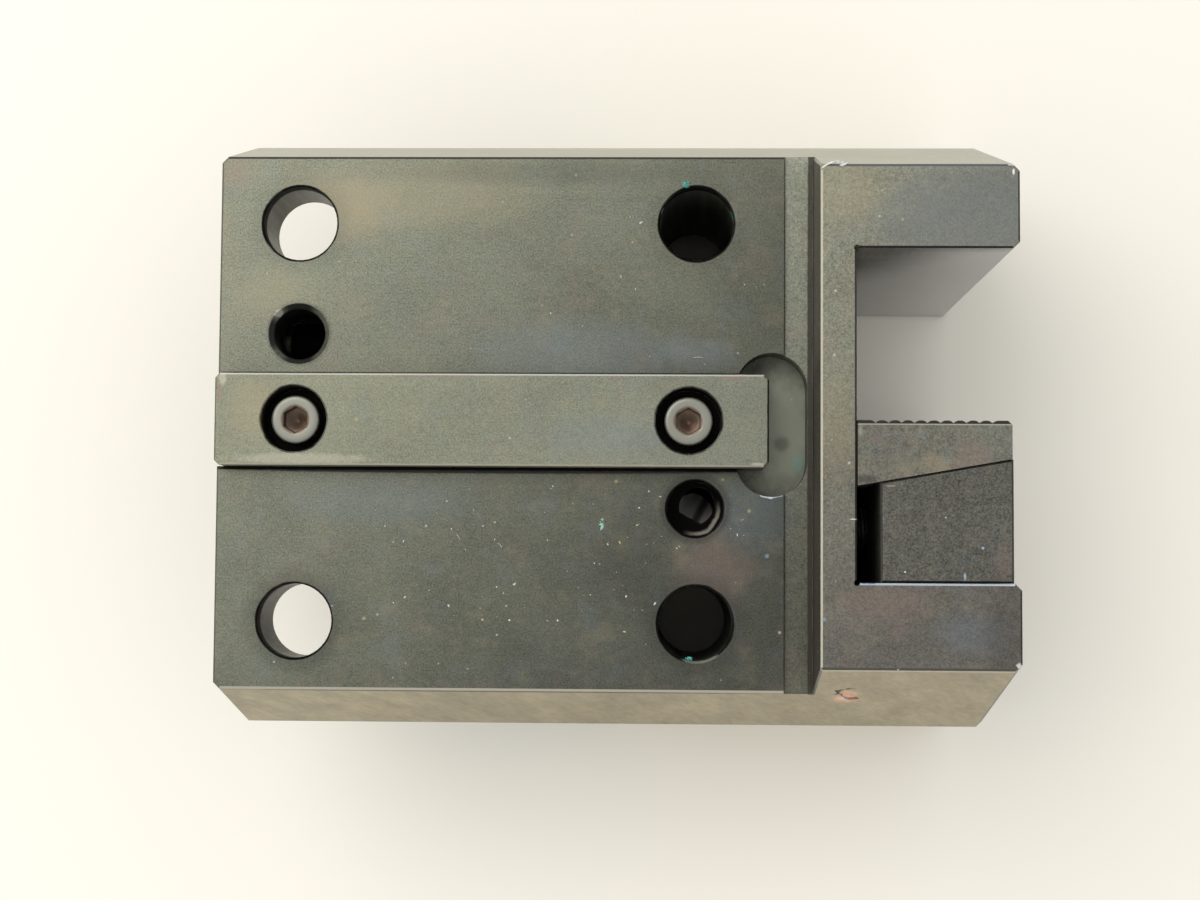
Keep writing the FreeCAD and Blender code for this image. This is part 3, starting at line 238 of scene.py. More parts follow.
def outward(vertices, triangles, quads):
    """Turns the faces round if the volume, the sum of a . (b x c) over the triangles, is negative."""
    split = np.concatenate([triangles, quads[:, [0, 1, 2]], quads[:, [0, 2, 3]]])
    first, second, third = vertices[split[:, 0]], vertices[split[:, 1]], vertices[split[:, 2]]
    volume = np.einsum("ij,ij->i", first, np.cross(second, third)).sum()
    if volume < 0:
        return triangles[:, ::-1], quads[:, ::-1]
    return triangles, quads


def closed_skin(rings):
    """Corner arrays of closed skins: rings of points, (skins, rings, round, 3), with a pole at both ends.

    Ring i and ring i + 1 are joined by quads, point j to point j + 1 round the ring, and the first and the
    last ring are joined to the mean of their points by triangles.
    """
    skins, count, around, _ = rings.shape
    poles = rings[:, [0, -1]].mean(axis=2)
    vertices = np.concatenate([rings.reshape(skins, -1, 3), poles], axis=1)
    row = np.arange(count - 1)[:, None] * around
    point = np.arange(around)[None, :]
    after = (point + 1) % around
    above = row + around
    quads = np.stack([row + point, row + after, above + after, above + point], -1).reshape(-1, 4)
    start = np.full(around, count * around)
    last = (count - 1) * around
    first_fan = np.stack([start, after[0], point[0]], -1)
    last_fan = np.stack([start + 1, last + point[0], last + after[0]], -1)
    triangles, quads = outward(vertices[0], np.concatenate([first_fan, last_fan]), quads)
    shift = (np.arange(skins) * vertices.shape[1])[:, None, None]
    return vertices.reshape(-1, 3), (triangles + shift).reshape(-1, 3), (quads + shift).reshape(-1, 4)


def skin_object(name, rings):
    """One mesh object of one or more closed skins."""
    vertices, triangles, quads = closed_skin(rings)
    return new_object(name, vertices, (triangles, quads))


def carry(points, axis, tip):
    """Turns points about +Z into points about the axis, with local zero at the tip."""
    turn = np.array(Vector((0, 0, 1)).rotation_difference(axis).to_matrix())
    return points @ turn.T + np.array(tip)


def polyline(corners, steps):
    """Points along straight runs between the corners, each run cut into its number of steps."""
    runs = [np.linspace(a, b, n, endpoint=False) for a, b, n in zip(corners[:-1], corners[1:], steps)]
    return np.concatenate(runs + [corners[-1:]])


def triangle_wave(phase):
    """Rises from 0 to 1 and falls back to 0 once in each whole phase."""
    return 1 - np.abs(2 * (phase - np.floor(phase)) - 1)


# Shares of a screw's sizes: of the pitch, of half the hexagon, of the drill's radius, of half the hexagon's
# corners, of the head's height, of the plug's length, of the head's height and of the thread's depth
THREAD_DEPTH = 0.61
SOCKET_DRILL = 0.97
DRILL_POINT = 0.45
SOCKET_MOUTH = 1.02
HEAD_SOCKET = 0.52
PLUG_SOCKET = 0.55
HEAD_ROUNDING = 0.09
PLUG_ROUNDING = 0.9


def turned_screw(name, axis, tip, total, thread, pitch, hexagon, head, sizes):
    """Closed skin of a screw with a hexagon socket, turned about its axis.

    The profile, a list of (radius, height, six-sided share, knurled share, threaded share), runs from the
    drilled point of the socket up its wall, over the rim, down the side of the head and along the thread
    to the tip. The radius at an angle is
    profile radius x (1 + six-sided share x (1 / cos(angle from the nearest flat) - 1))
    - knurl depth x knurled share x |sin(knurls x angle / 2)|
    - thread depth x threaded share x triangle wave(height / pitch - angle / full turn).
    """
    around = sizes.rounds
    angle = np.arange(around) * FULL_TURN / around
    flat = hexagon / 2
    deep = THREAD_DEPTH * pitch
    core = thread / 2
    drill = flat * SOCKET_DRILL
    point_depth = drill * DRILL_POINT
    socket = head[1] * HEAD_SOCKET if head else total * PLUG_SOCKET
    soft = head[1] * HEAD_ROUNDING if head else deep * PLUG_ROUNDING
    under = total - head[1] if head else total - soft
    mouth = flat / math.cos(math.pi / HEXAGON) * SOCKET_MOUTH
    corners = [
        (drill * 0.05, total - socket - point_depth, 0, 0, 0),
        (drill, total - socket, 0, 0, 0),
        (flat, total - socket, 1, 0, 0),
        (flat, total - 0.03 * thread, 1, 0, 0),
        (mouth, total, 0, 0, 0),
    ]
    steps = [4, 2, 6, 2]
    if head:
        side = head[0]
        corners += [(side - soft * 1.15, total, 0, 0, 0), (side - soft * 0.45, total - soft * 0.25, 0, 0, 0)]
        corners += [(side - soft * 0.08, total - soft * 0.8, 0, 0.2, 0), (side, total - soft * 1.5, 0, 1, 0)]
        corners += [(side, under + soft * 0.9, 0, 1, 0), (side - soft * 0.3, under + soft * 0.25, 0, 0, 0)]
        corners += [(side - soft * 0.6, under, 0, 0, 0), (core * 1.08, under, 0, 0, 0)]
        corners += [(core, under - core * 0.08, 0, 0, 0), (core, under - pitch, 0, 0, 0)]
        steps += [3, 2, 2, 2, 6, 2, 2, 3, 2, 2]
    else:
        corners += [(core - soft, total, 0, 0, 0)]
        steps += [3]
    run = under - 2 * pitch if head else under
    corners += [(core, run, 0, 0, 1), (core, deep * 1.2, 0, 0, 1), (core - deep * 1.1, 0, 0, 0, 0)]
    steps += [3, max(int(run / pitch * sizes.turn_rows), 12), 3]
    corners += [(core * 0.05, 0, 0, 0, 0)]
    steps += [3]
    radius, height, six, knurled, threaded = polyline(np.array(corners, float), steps).T[:, :, None]
    side_angle = FULL_TURN / HEXAGON
    off_flat = (angle + side_angle / 2) % side_angle - side_angle / 2
    reach = radius * (1 + six * (1 / np.cos(off_flat) - 1))
    reach = reach - sizes.knurl_depth * knurled * np.abs(np.sin(sizes.knurls * angle / 2))
    reach = reach - deep * threaded * triangle_wave(height / pitch - angle / FULL_TURN)
    rings = np.stack([reach * np.cos(angle), reach * np.sin(angle), height + 0 * angle], axis=-1)
    return skin_object(name, carry(rings, axis, tip)[None])


def bent_sliver(name, path, width, thickness, lean, rough, seed):
    """Closed sliver of torn metal along a curve.

    The centre line is the quadratic curve of the three path points. Its section is an ellipse of the width,
    leaning by an angle, and of the thickness, both x sin(pi x way along) to the power 0.6
    x (1 + seeded noise).
    """
    chance = np.random.default_rng(seed)
    rows, around = 26, 14
    way = np.linspace(0.02, 0.98, rows)[:, None]
    first, middle, last = (np.array(p, float) for p in path)
    line = (1 - way) ** 2 * first + 2 * way * (1 - way) * middle + way ** 2 * last
    along = np.gradient(line, axis=0)
    along /= np.linalg.norm(along, axis=1)[:, None]
    across = np.cross(along, (0, 0, 1))
    across /= np.linalg.norm(across, axis=1)[:, None]
    up = np.cross(across, along)
    swell = np.sin(math.pi * way) ** 0.6 * (1 + rough * (chance.random((rows, 1)) - 0.5))
    tilted = math.cos(lean) * across + math.sin(lean) * up
    raised = -math.sin(lean) * across + math.cos(lean) * up
    angle = np.arange(around) * FULL_TURN / around
    flat_part = np.cos(angle)[None, :, None] * (tilted * swell * width / 2)[:, None, :]
    tall_part = np.sin(angle)[None, :, None] * (raised * swell * thickness / 2)[:, None, :]
    rings = line[:, None, :] + flat_part + tall_part
    return skin_object(name, rings[None])


def scattered_flecks(name, places, sizes, seed):
    """Closed flat crumbs, one at each place, (count, 3), of each size, (count,).

    Each is a sphere of 5 rings and 8 points round, flattened to a third, stretched by a seeded share along a
    seeded direction, with each point's radius x (1 + 0.5 x seeded noise).
    """
    chance = np.random.default_rng(seed)
    count, rows, around = len(places), 5, 8
    polar = np.linspace(0.25, math.pi - 0.25, rows)[None, :, None]
    angle = (np.arange(around) * FULL_TURN / around)[None, None, :]
    swell = 1 + 0.5 * (chance.random((count, rows, around)) - 0.5)
    stretch = 1 + 1.6 * chance.random(count)[:, None, None] ** 2
    heading = chance.random(count)[:, None, None] * math.pi
    radius = np.asarray(sizes)[:, None, None] / 2 * swell
    long_way = radius * stretch * np.sin(polar) * np.cos(angle)
    short_way = radius * np.sin(polar) * np.sin(angle)
    x = long_way * np.cos(heading) - short_way * np.sin(heading)
    y = long_way * np.sin(heading) + short_way * np.cos(heading)
    z = radius * np.cos(polar) / 3 + 0 * angle
    rings = np.stack([x, y, z], axis=-1) + np.asarray(places)[:, None, None, :]
    return skin_object(name, rings)


# Shader building

def rgba(colour):
    """Colour with full opacity, for a colour socket."""
    return (*colour[:3], 1.0)


class Graph:
    """Short ways to add nodes to a shader tree and to join them."""

    def __init__(self, tree):
        self.tree = tree

    def add(self, kind, values=None, **settings):
        node = self.tree.nodes.new(kind)
        node.location = (190 * (len(self.tree.nodes) % 12), -260 * (len(self.tree.nodes) // 12))
        for key, value in settings.items():
            setattr(node, key, value)
        for key, value in (values or {}).items():
            self.feed(node.inputs[key], value)
        return node

    def feed(self, socket, value):
        if isinstance(value, bpy.types.NodeSocket):
            self.tree.links.new(value, socket)
        else:
            socket.default_value = value

    def maths(self, operation, *values, clamp=False):
        node = self.add("ShaderNodeMath", dict(enumerate(values)), operation=operation, use_clamp=clamp)
        return node.outputs[0]

    def vector(self, operation, *values, out=0):
        node = self.add("ShaderNodeVectorMath", dict(enumerate(values)), operation=operation)
        return node.outputs[out]

    def scaled(self, vector, factor):
        node = self.add("ShaderNodeVectorMath", {0: vector, "Scale": factor}, operation="SCALE")
        return node.outputs[0]

    def smooth(self, value, low, high):
        """The value carried from low..high to 0..1 along a smooth step."""
        values = {"Value": value, "From Min": low, "From Max": high}
        return self.add("ShaderNodeMapRange", values, interpolation_type="SMOOTHSTEP").outputs[0]

    def noise(self, vector, scale, detail=3.0, rough=0.5, warp=0.0, out=0):
        values = {"Vector": vector, "Scale": scale, "Detail": detail, "Roughness": rough, "Distortion": warp}
        return self.add("ShaderNodeTexNoise", values).outputs[out]

    def blend(self, mask, first, second, mode="MIX"):
        """Colour that goes from the first to the second as the mask goes from 0 to 1."""
        values = {0: mask, 6: first, 7: second}
        return self.add("ShaderNodeMix", values, data_type="RGBA", blend_type=mode).outputs[2]

    def group(self, tree, values):
        return self.add("ShaderNodeGroup", values, node_tree=tree)


def new_group(name, inputs, outputs):
    """Empty node group with named sockets. Returns its graph, its inputs by name and its output node."""
    tree = bpy.data.node_groups.new(name, "ShaderNodeTree")
    kinds = {"value": "NodeSocketFloat", "colour": "NodeSocketColor", "vector": "NodeSocketVector"}
    for label, kind, default in inputs:
        socket = tree.interface.new_socket(label, in_out="INPUT", socket_type=kinds[kind])
        if default is not None:
            socket.default_value = default
    for label, kind in outputs:
        tree.interface.new_socket(label, in_out="OUTPUT", socket_type=kinds[kind])
    graph = Graph(tree)
    given = graph.add("NodeGroupInput").outputs
    result = graph.add("NodeGroupOutput").inputs
    return graph, given, result


def oxide_clouds():
    """Mottled oxide: broad clouds, small mottle and thin straw, rose and blue films."""
    graph, given, result = new_group(
        "Oxide Clouds",
        (
            ("Vector", "vector", None),
            ("Tone", "colour", (0.2, 0.2, 0.17, 1)),
            ("Straw", "colour", (0.3, 0.25, 0.15, 1)),
            ("Rose", "colour", (0.26, 0.17, 0.14, 1)),
            ("Blue", "colour", (0.16, 0.2, 0.23, 1)),
            ("Cloud Size", "value", 0.02),
            ("Contrast", "value", 0.25),
            ("Film", "value", 0.3),
            ("Grain", "value", 0.6),
            ("Roughness", "value", 0.42),
        ),
        (("Color", "colour"), ("Roughness", "value")),
    )
    scale = graph.maths("DIVIDE", 1.0, given["Cloud Size"])
    broad = graph.noise(given["Vector"], scale, 4.0, 0.55, 0.15)
    fine = graph.noise(given["Vector"], 900.0, 2.0, 0.6)
    grit = graph.noise(given["Vector"], 3300.0, 1.0, 0.7)
    film = graph.noise(given["Vector"], graph.maths("MULTIPLY", scale, 2.6), 5.0, 0.65, 0.1, out=1)
    parts = graph.add("ShaderNodeSeparateColor", {0: film}).outputs
    fine_part = graph.maths("MULTIPLY", fine, 0.5)
    speckle = graph.maths("SUBTRACT", graph.maths("MULTIPLY_ADD", grit, 1.5, fine_part), 1.0)
    cloud = graph.maths("MULTIPLY", graph.maths("SUBTRACT", broad, 0.5), 1.8)
    grained = graph.maths("MULTIPLY_ADD", speckle, given["Grain"], 1.0)
    level = graph.maths("MULTIPLY_ADD", cloud, given["Contrast"], grained)
    grey = graph.add("ShaderNodeCombineColor", {0: level, 1: level, 2: level}).outputs[0]
    colour = graph.blend(1.0, given["Tone"], grey, "MULTIPLY")
    for place, film_colour in ((0, "Straw"), (1, "Rose"), (2, "Blue")):
        patch = graph.smooth(parts[place], 0.50, 0.74)
        amount = graph.maths("MULTIPLY", patch, given["Film"], clamp=True)
        colour = graph.blend(amount, colour, given[film_colour])
    graph.feed(result["Color"], colour)
    shift = graph.maths("MULTIPLY_ADD", graph.maths("SUBTRACT", fine, 0.5), 0.18, given["Roughness"])
    uneven = graph.maths("MULTIPLY_ADD", graph.maths("SUBTRACT", broad, 0.5), 0.16, shift)
    graph.feed(result["Roughness"], uneven)
    return graph.tree


def tone_slope():
    """Mask that rises from 0 at one point to 1 at another along a smooth step, shifted by Rough."""
    graph, given, result = new_group(
        "Tone Slope",
        (
            ("Vector", "vector", None),
            ("From", "vector", None),
            ("To", "vector", None),
            ("Rough", "value", 0.0),
        ),
        (("Mask", "value"),),
    )
    span = graph.vector("SUBTRACT", given["To"], given["From"])
    way = graph.vector("SUBTRACT", given["Vector"], given["From"])
    along = graph.vector("DOT_PRODUCT", way, span, out=1)
    part = graph.maths("DIVIDE", along, graph.vector("DOT_PRODUCT", span, span, out=1))
    graph.feed(result["Mask"], graph.smooth(graph.maths("ADD", part, given["Rough"]), 0.0, 1.0))
    return graph.tree


def ground_lines():
    """Fine lines left by grinding or milling: noise drawn out along the direction with the smallest scale."""
    graph, given, result = new_group(
        "Ground Lines",
        (
            ("Vector", "vector", None),
            ("Scales", "vector", (60.0, 4000.0, 4000.0)),
            ("Turn", "vector", (0.0, 0.0, 0.0)),
        ),
        (("Lines", "value"),),
    )
    values = {"Vector": given["Vector"], "Rotation": given["Turn"]}
    turned = graph.add("ShaderNodeVectorRotate", values, rotation_type="EULER_XYZ")
    drawn = graph.vector("MULTIPLY", turned.outputs[0], given["Scales"])
    close = graph.noise(drawn, 1.0, 2.0, 0.6)
    wide = graph.noise(graph.scaled(drawn, 0.23), 1.0, 2.0, 0.5)
    graph.feed(result["Lines"], graph.maths("MULTIPLY_ADD", wide, 0.5, graph.maths("MULTIPLY", close, 0.5)))
    return graph.tree


def worn_edge():
    """Mask of a thin broken line along sharp edges, where a rounded normal leaves the face's own."""
    graph, given, result = new_group(
        "Worn Edge",
        (
            ("Vector", "vector", None),
            ("Width", "value", 0.0002),
            ("Amount", "value", 1.0),
            ("Gap Size", "value", 0.004),
        ),
        (("Mask", "value"), ("Normal", "vector")),
    )
    bevel = graph.add("ShaderNodeBevel", {"Radius": given["Width"]}, samples=4)
    face = graph.add("ShaderNodeNewGeometry").outputs["Normal"]
    apart = graph.maths("SUBTRACT", 1.0, graph.vector("DOT_PRODUCT", bevel.outputs[0], face, out=1))
    edge = graph.smooth(apart, 0.01, 0.12)
    gaps = graph.noise(given["Vector"], graph.maths("DIVIDE", 1.0, given["Gap Size"]), 4.0, 0.6)
    broken = graph.maths("MULTIPLY", edge, graph.smooth(gaps, 0.40, 0.62))
    graph.feed(result["Mask"], graph.maths("MULTIPLY", broken, given["Amount"], clamp=True))
    graph.feed(result["Normal"], bevel.outputs[0])
    return graph.tree


def dust_specks():
    """Mask of small scattered specks, one in some of the cells of a random lattice."""
    graph, given, result = new_group(
        "Dust Specks",
        (
            ("Vector", "vector", None),
            ("Spacing", "value", 0.004),
            ("Speck Size", "value", 0.0002),
            ("Share", "value", 0.5),
        ),
        (("Mask", "value"),),
    )
    scale = graph.maths("DIVIDE", 1.0, given["Spacing"])
    cells = graph.add("ShaderNodeTexVoronoi", {"Vector": given["Vector"], "Scale": scale})
    chance = graph.add("ShaderNodeSeparateColor", {0: cells.outputs["Color"]}).outputs
    size = graph.maths("MULTIPLY", given["Speck Size"], graph.maths("MULTIPLY_ADD", chance[1], 1.4, 0.4))
    apart = graph.maths("MULTIPLY", cells.outputs["Distance"], given["Spacing"])
    near = graph.smooth(apart, size, graph.maths("MULTIPLY", size, 0.3))
    chosen = graph.maths("LESS_THAN", chance[0], given["Share"])
    graph.feed(result["Mask"], graph.maths("MULTIPLY", near, chosen))
    return graph.tree


def soft_spot():
    """Mask of an oval spot: 1 in its middle, 0 past its reach, its border shifted by the value Rough."""
    graph, given, result = new_group(
        "Soft Spot",
        (
            ("Vector", "vector", None),
            ("Centre", "vector", None),
            ("Reach", "vector", (0.01, 0.01, 0.01)),
            ("Softness", "value", 0.8),
            ("Rough", "value", 0.0),
        ),
        (("Mask", "value"),),
    )
    away = graph.vector("DIVIDE", graph.vector("SUBTRACT", given["Vector"], given["Centre"]), given["Reach"])
    distance = graph.maths("ADD", graph.vector("LENGTH", away, out=1), given["Rough"])
    inner = graph.maths("SUBTRACT", 1.0, given["Softness"])
    graph.feed(result["Mask"], graph.smooth(distance, 1.0, inner))
    return graph.tree


def stroke():
    """Mask of a straight stroke: 1 along the line from one point to another, 0 past its width."""
    graph, given, result = new_group(
        "Stroke",
        (
            ("Vector", "vector", None),
            ("From", "vector", None),
            ("To", "vector", None),
            ("Width", "value", 0.001),
            ("Rough", "value", 0.0),
        ),
        (("Mask", "value"),),
    )
    span = graph.vector("SUBTRACT", given["To"], given["From"])
    way = graph.vector("SUBTRACT", given["Vector"], given["From"])
    along = graph.vector("DOT_PRODUCT", way, span, out=1)
    part = graph.maths("DIVIDE", along, graph.vector("DOT_PRODUCT", span, span, out=1), clamp=True)
    away = graph.vector("LENGTH", graph.vector("SUBTRACT", way, graph.scaled(span, part)), out=1)
    distance = graph.maths("ADD", graph.maths("DIVIDE", away, given["Width"]), given["Rough"])
    graph.feed(result["Mask"], graph.smooth(distance, 1.0, 0.4))
    return graph.tree


def bore_ring_mask():
    """Mask of a ring round a bore along Z, for oily rings and for painted shade in the bore: 1 at its radius,
    0 past its reach, shifted by Rough.
    """
    graph, given, result = new_group(
        "Bore Stain",
        (
            ("Vector", "vector", None),
            ("Centre", "vector", None),
            ("Radius", "value", 0.0065),
            ("Reach", "value", 0.004),
            ("Rough", "value", 0.0),
        ),
        (("Mask", "value"),),
    )
    apart = graph.vector("SUBTRACT", given["Vector"], given["Centre"])
    away = graph.vector("MULTIPLY", apart, (1.0, 1.0, 0.0))
    distance = graph.maths("ADD", graph.vector("LENGTH", away, out=1), given["Rough"])
    outer = graph.maths("ADD", given["Radius"], given["Reach"])
    graph.feed(result["Mask"], graph.smooth(distance, outer, given["Radius"]))
    return graph.tree


def facing():
    """Mask of the faces whose normal lies near a direction."""
    graph, given, result = new_group(
        "Facing",
        (
            ("Normal", "vector", None),
            ("Direction", "vector", (0.0, 0.0, 1.0)),
            ("Low", "value", 0.9),
            ("High", "value", 0.97),
        ),
        (("Mask", "value"),),
    )
    unit = graph.vector("NORMALIZE", given["Direction"])
    alike = graph.vector("DOT_PRODUCT", given["Normal"], unit, out=1)
    graph.feed(result["Mask"], graph.smooth(alike, given["Low"], given["High"]))
    return graph.tree


GROUP_MAKERS = {
    "clouds": oxide_clouds,
    "slope": tone_slope,
    "lines": ground_lines,
    "edge": worn_edge,
    "specks": dust_specks,
    "spot": soft_spot,
    "stroke": stroke,
    "ring_mask": bore_ring_mask,
    "facing": facing,
}
made_groups = {}


def effect(name):
    """The shared node group of that name, made the first time it is asked for."""
    if name not in made_groups:
        made_groups[name] = GROUP_MAKERS[name]()
    return made_groups[name]


class Surface(Graph):
    """A material: its colour, roughness, metallic share and bump, to which layers are added one by one."""

    def __init__(self, name, metallic, edge_width):
        material = bpy.data.materials.new(name)
        material.use_nodes = True
        material.node_tree.nodes.clear()
        super().__init__(material.node_tree)
        self.material = material
        coordinates = self.add("ShaderNodeTexCoord").outputs
        self.place = coordinates["Object"]
        self.normal = coordinates["Normal"]
        self.colour = None
        self.rough = None
        self.metal = metallic
        self.height = None
        self.ragged = {}
        self.edge = self.group(effect("edge"), {"Vector": self.place, "Width": edge_width})

    def mottle(self, base, finish, cloud=0.02, contrast=0.25, film=0.3, roughness=None, grain=0.6):
        """Base colour of oxide with its clouds, films and grain."""
        values = {
            "Vector": self.place,
            "Tone": base if isinstance(base, bpy.types.NodeSocket) else rgba(base),
            "Straw": rgba(finish.oxide_warm),
            "Rose": rgba(finish.oxide_rose),
            "Blue": rgba(finish.oxide_cool),
            "Cloud Size": cloud,
            "Contrast": contrast,
            "Film": film,
            "Grain": grain,
            "Roughness": finish.roughness if roughness is None else roughness,
        }
        clouds = self.group(effect("clouds"), values).outputs
        self.colour = clouds["Color"]
        self.rough = clouds["Roughness"]

    def tint(self, mask, colour, amount=1.0):
        """Lays a colour over the surface where the mask is."""
        part = mask if amount == 1.0 else self.maths("MULTIPLY", mask, amount)
        self.colour = self.blend(part, self.colour, rgba(colour))

    def polish(self, mask, roughness, metallic=None):
        """Gives the surface another roughness, and metallic share, where the mask is."""
        self.rough = self.level(mask, self.rough, roughness)
        if metallic is not None:
            self.metal = self.level(mask, self.metal, metallic)

    def level(self, mask, first, second):
        """Value that goes from the first to the second as the mask goes from 0 to 1."""
        return self.add("ShaderNodeMix", {0: mask, 2: first, 3: second}, data_type="FLOAT").outputs[0]

    def raise_by(self, mask, height):
        """Adds to the bump, in metres."""
        added = self.maths("MULTIPLY", mask, height)
        self.height = added if self.height is None else self.maths("ADD", self.height, added)

    def lines(self, scales, depth, turn=(0.0, 0.0, 0.0), shade=0.1, where=1.0):
        """Grinding lines, as bump and as a slight change of tone."""
        lines = self.group(effect("lines"), {"Vector": self.place, "Scales": scales, "Turn": turn}).outputs[0]
        away = self.maths("MULTIPLY", self.maths("SUBTRACT", lines, 0.5), where)
        self.raise_by(away, depth)
        level = self.maths("MULTIPLY_ADD", away, shade * 4, 1.0)
        grey = self.add("ShaderNodeCombineColor", {0: level, 1: level, 2: level}).outputs[0]
        self.colour = self.blend(1.0, self.colour, grey, "MULTIPLY")

    def rough_by(self, amount, grain):
        """The amount x a noise from -0.5 to 0.5 of that grain size, the noise made once for each size."""
        if not amount:
            return 0.0
        if grain not in self.ragged:
            noise = self.noise(self.place, 1 / grain, 4.0, 0.6)
            self.ragged[grain] = self.maths("SUBTRACT", noise, 0.5)
        return self.maths("MULTIPLY", self.ragged[grain], amount)

    def both(self, *masks):
        """Mask that holds only where all the masks do."""
        whole = masks[0]
        for mask in masks[1:]:
            whole = self.maths("MULTIPLY", whole, mask)
        return whole

    def spot(self, centre, reach, softness, uneven, grain):
        """Mask of an oval spot, in millimetres."""
        values = {
            "Vector": self.place,
            "Centre": [c * MM for c in centre],
            "Reach": [r * MM for r in reach],
            "Softness": softness,
            "Rough": self.rough_by(uneven, grain),
        }
        return self.group(effect("spot"), values).outputs[0]

    def marks(self, table, finish, softness, uneven, grain):
        """Lays an oval spot of colour for each row of a table: middle, reach, colour and amount."""
        for middle, reach, colour, amount in table:
            self.tint(self.spot(middle, reach, softness, uneven, grain), getattr(finish, colour), amount)

    def streak(self, start, end, width, uneven):
        """Mask of a straight stroke between two places, in millimetres."""
        values = {
            "Vector": self.place,
            "From": [s * MM for s in start],
            "To": [e * MM for e in end],
            "Width": width * MM,
            "Rough": self.rough_by(uneven, 0.0007),
        }
        return self.group(effect("stroke"), values).outputs[0]

    def paint_deep_shade(self, mask, finish, amount=0.95):
        """Painted shade: near-black, fully metallic and rough, so that a recess looks unlit."""
        self.tint(mask, finish.soot_and_shade, amount)
        self.polish(mask, 0.75, 1.0)

    def towards(self, direction, low=0.9, high=0.97):
        """Mask of the faces that look in a direction."""
        values = {"Normal": self.normal, "Direction": direction, "Low": low, "High": high}
        return self.group(effect("facing"), values).outputs[0]

    def slope(self, start, end, cloudiness=0.15):
        """Mask that rises between two places, in millimetres."""
        values = {
            "Vector": self.place,
            "From": [s * MM for s in start],
            "To": [e * MM for e in end],
            "Rough": self.rough_by(cloudiness, 0.022),
        }
        return self.group(effect("slope"), values).outputs[0]

    def dust(self, finish, amount, where=None):
        """Fine pale dust, yellowish specks and a few bluish ones."""
        kinds = (
            (finish.dust, 0.0026, 0.00019, 0.45 * amount),
            (finish.dust_straw, 0.0049, 0.00026, 0.5 * amount),
            (finish.dust_blue, 0.0110, 0.00030, 0.5 * amount),
        )
        for colour, spacing, size, part in kinds:
            values = {"Vector": self.place, "Spacing": spacing, "Speck Size": size, "Share": part}
            mask = self.group(effect("specks"), values).outputs["Mask"]
            if where is not None:
                mask = self.both(mask, where)
            self.tint(mask, colour, 0.8)
            self.polish(mask, 0.9)

    def wear(self, colour, amount=1.0, roughness=0.3):
        """Rubbed metal along the edges."""
        mask = self.edge.outputs["Mask"]
        self.edge.inputs["Amount"].default_value = amount
        self.tint(mask, colour)
        self.polish(mask, roughness)

    def finish(self, coat=0.0):
        """Joins the layers to the shader and returns the material."""
        normal = self.edge.outputs["Normal"]
        if self.height is not None:
            bump = {"Height": self.height, "Normal": normal, "Distance": 1.0}
            normal = self.add("ShaderNodeBump", bump).outputs[0]
        values = {
            "Base Color": self.colour,
            "Roughness": self.rough,
            "Metallic": self.metal,
            "Normal": normal,
        }
        shader = self.add("ShaderNodeBsdfPrincipled", values)
        shader.inputs["Coat Weight"].default_value = coat
        shader.inputs["Coat Roughness"].default_value = 0.3
        output = self.add("ShaderNodeOutputMaterial")
        self.tree.links.new(shader.outputs[0], output.inputs["Surface"])
        return self.material


# Materials

BOLT_BORES = ((-35, 35), (35, 35), (-35, -35), (35, -35))
BOLT_BORE_RADIUS = 6.5
PORTS = ((-34.96, 15.4, 4.5), (34.9, -15.0, 5.0))
KEY_SCREWS = (-34.85, 33.65)
KEY_RECESS = 5.75
KEY_MARKS = (
    ((41.6, 7.6, 4.4), (3.0, 0.7, 0.6), "oxide_rose", 0.7),
    ((-10, 7.7, 4.4), (9.0, 0.5, 0.6), "oxide_rose", 0.5),
    ((-47.4, 7.1, 4.2), (0.9, 1.6, 1.6), "pale_edge_highlight", 0.5),
    ((-47.9, 4.4, 4.4), (0.5, 2.4, 0.8), "oxide_rose", 0.6),
    ((-34.0, -6.9, 4.5), (16.0, 1.3, 0.8), "pale_edge_highlight", 0.35),
    ((-42, 2, 4.5), (6.0, 7.0, 2.0), "oxide_warm", 0.3),
    ((20, -3, 4.5), (14.0, 5.0, 2.0), "oxide_cool", 0.2),
    ((45.6, -7.5, 4.4), (1.6, 0.4, 0.5), "pale_edge_highlight", 0.6),
)

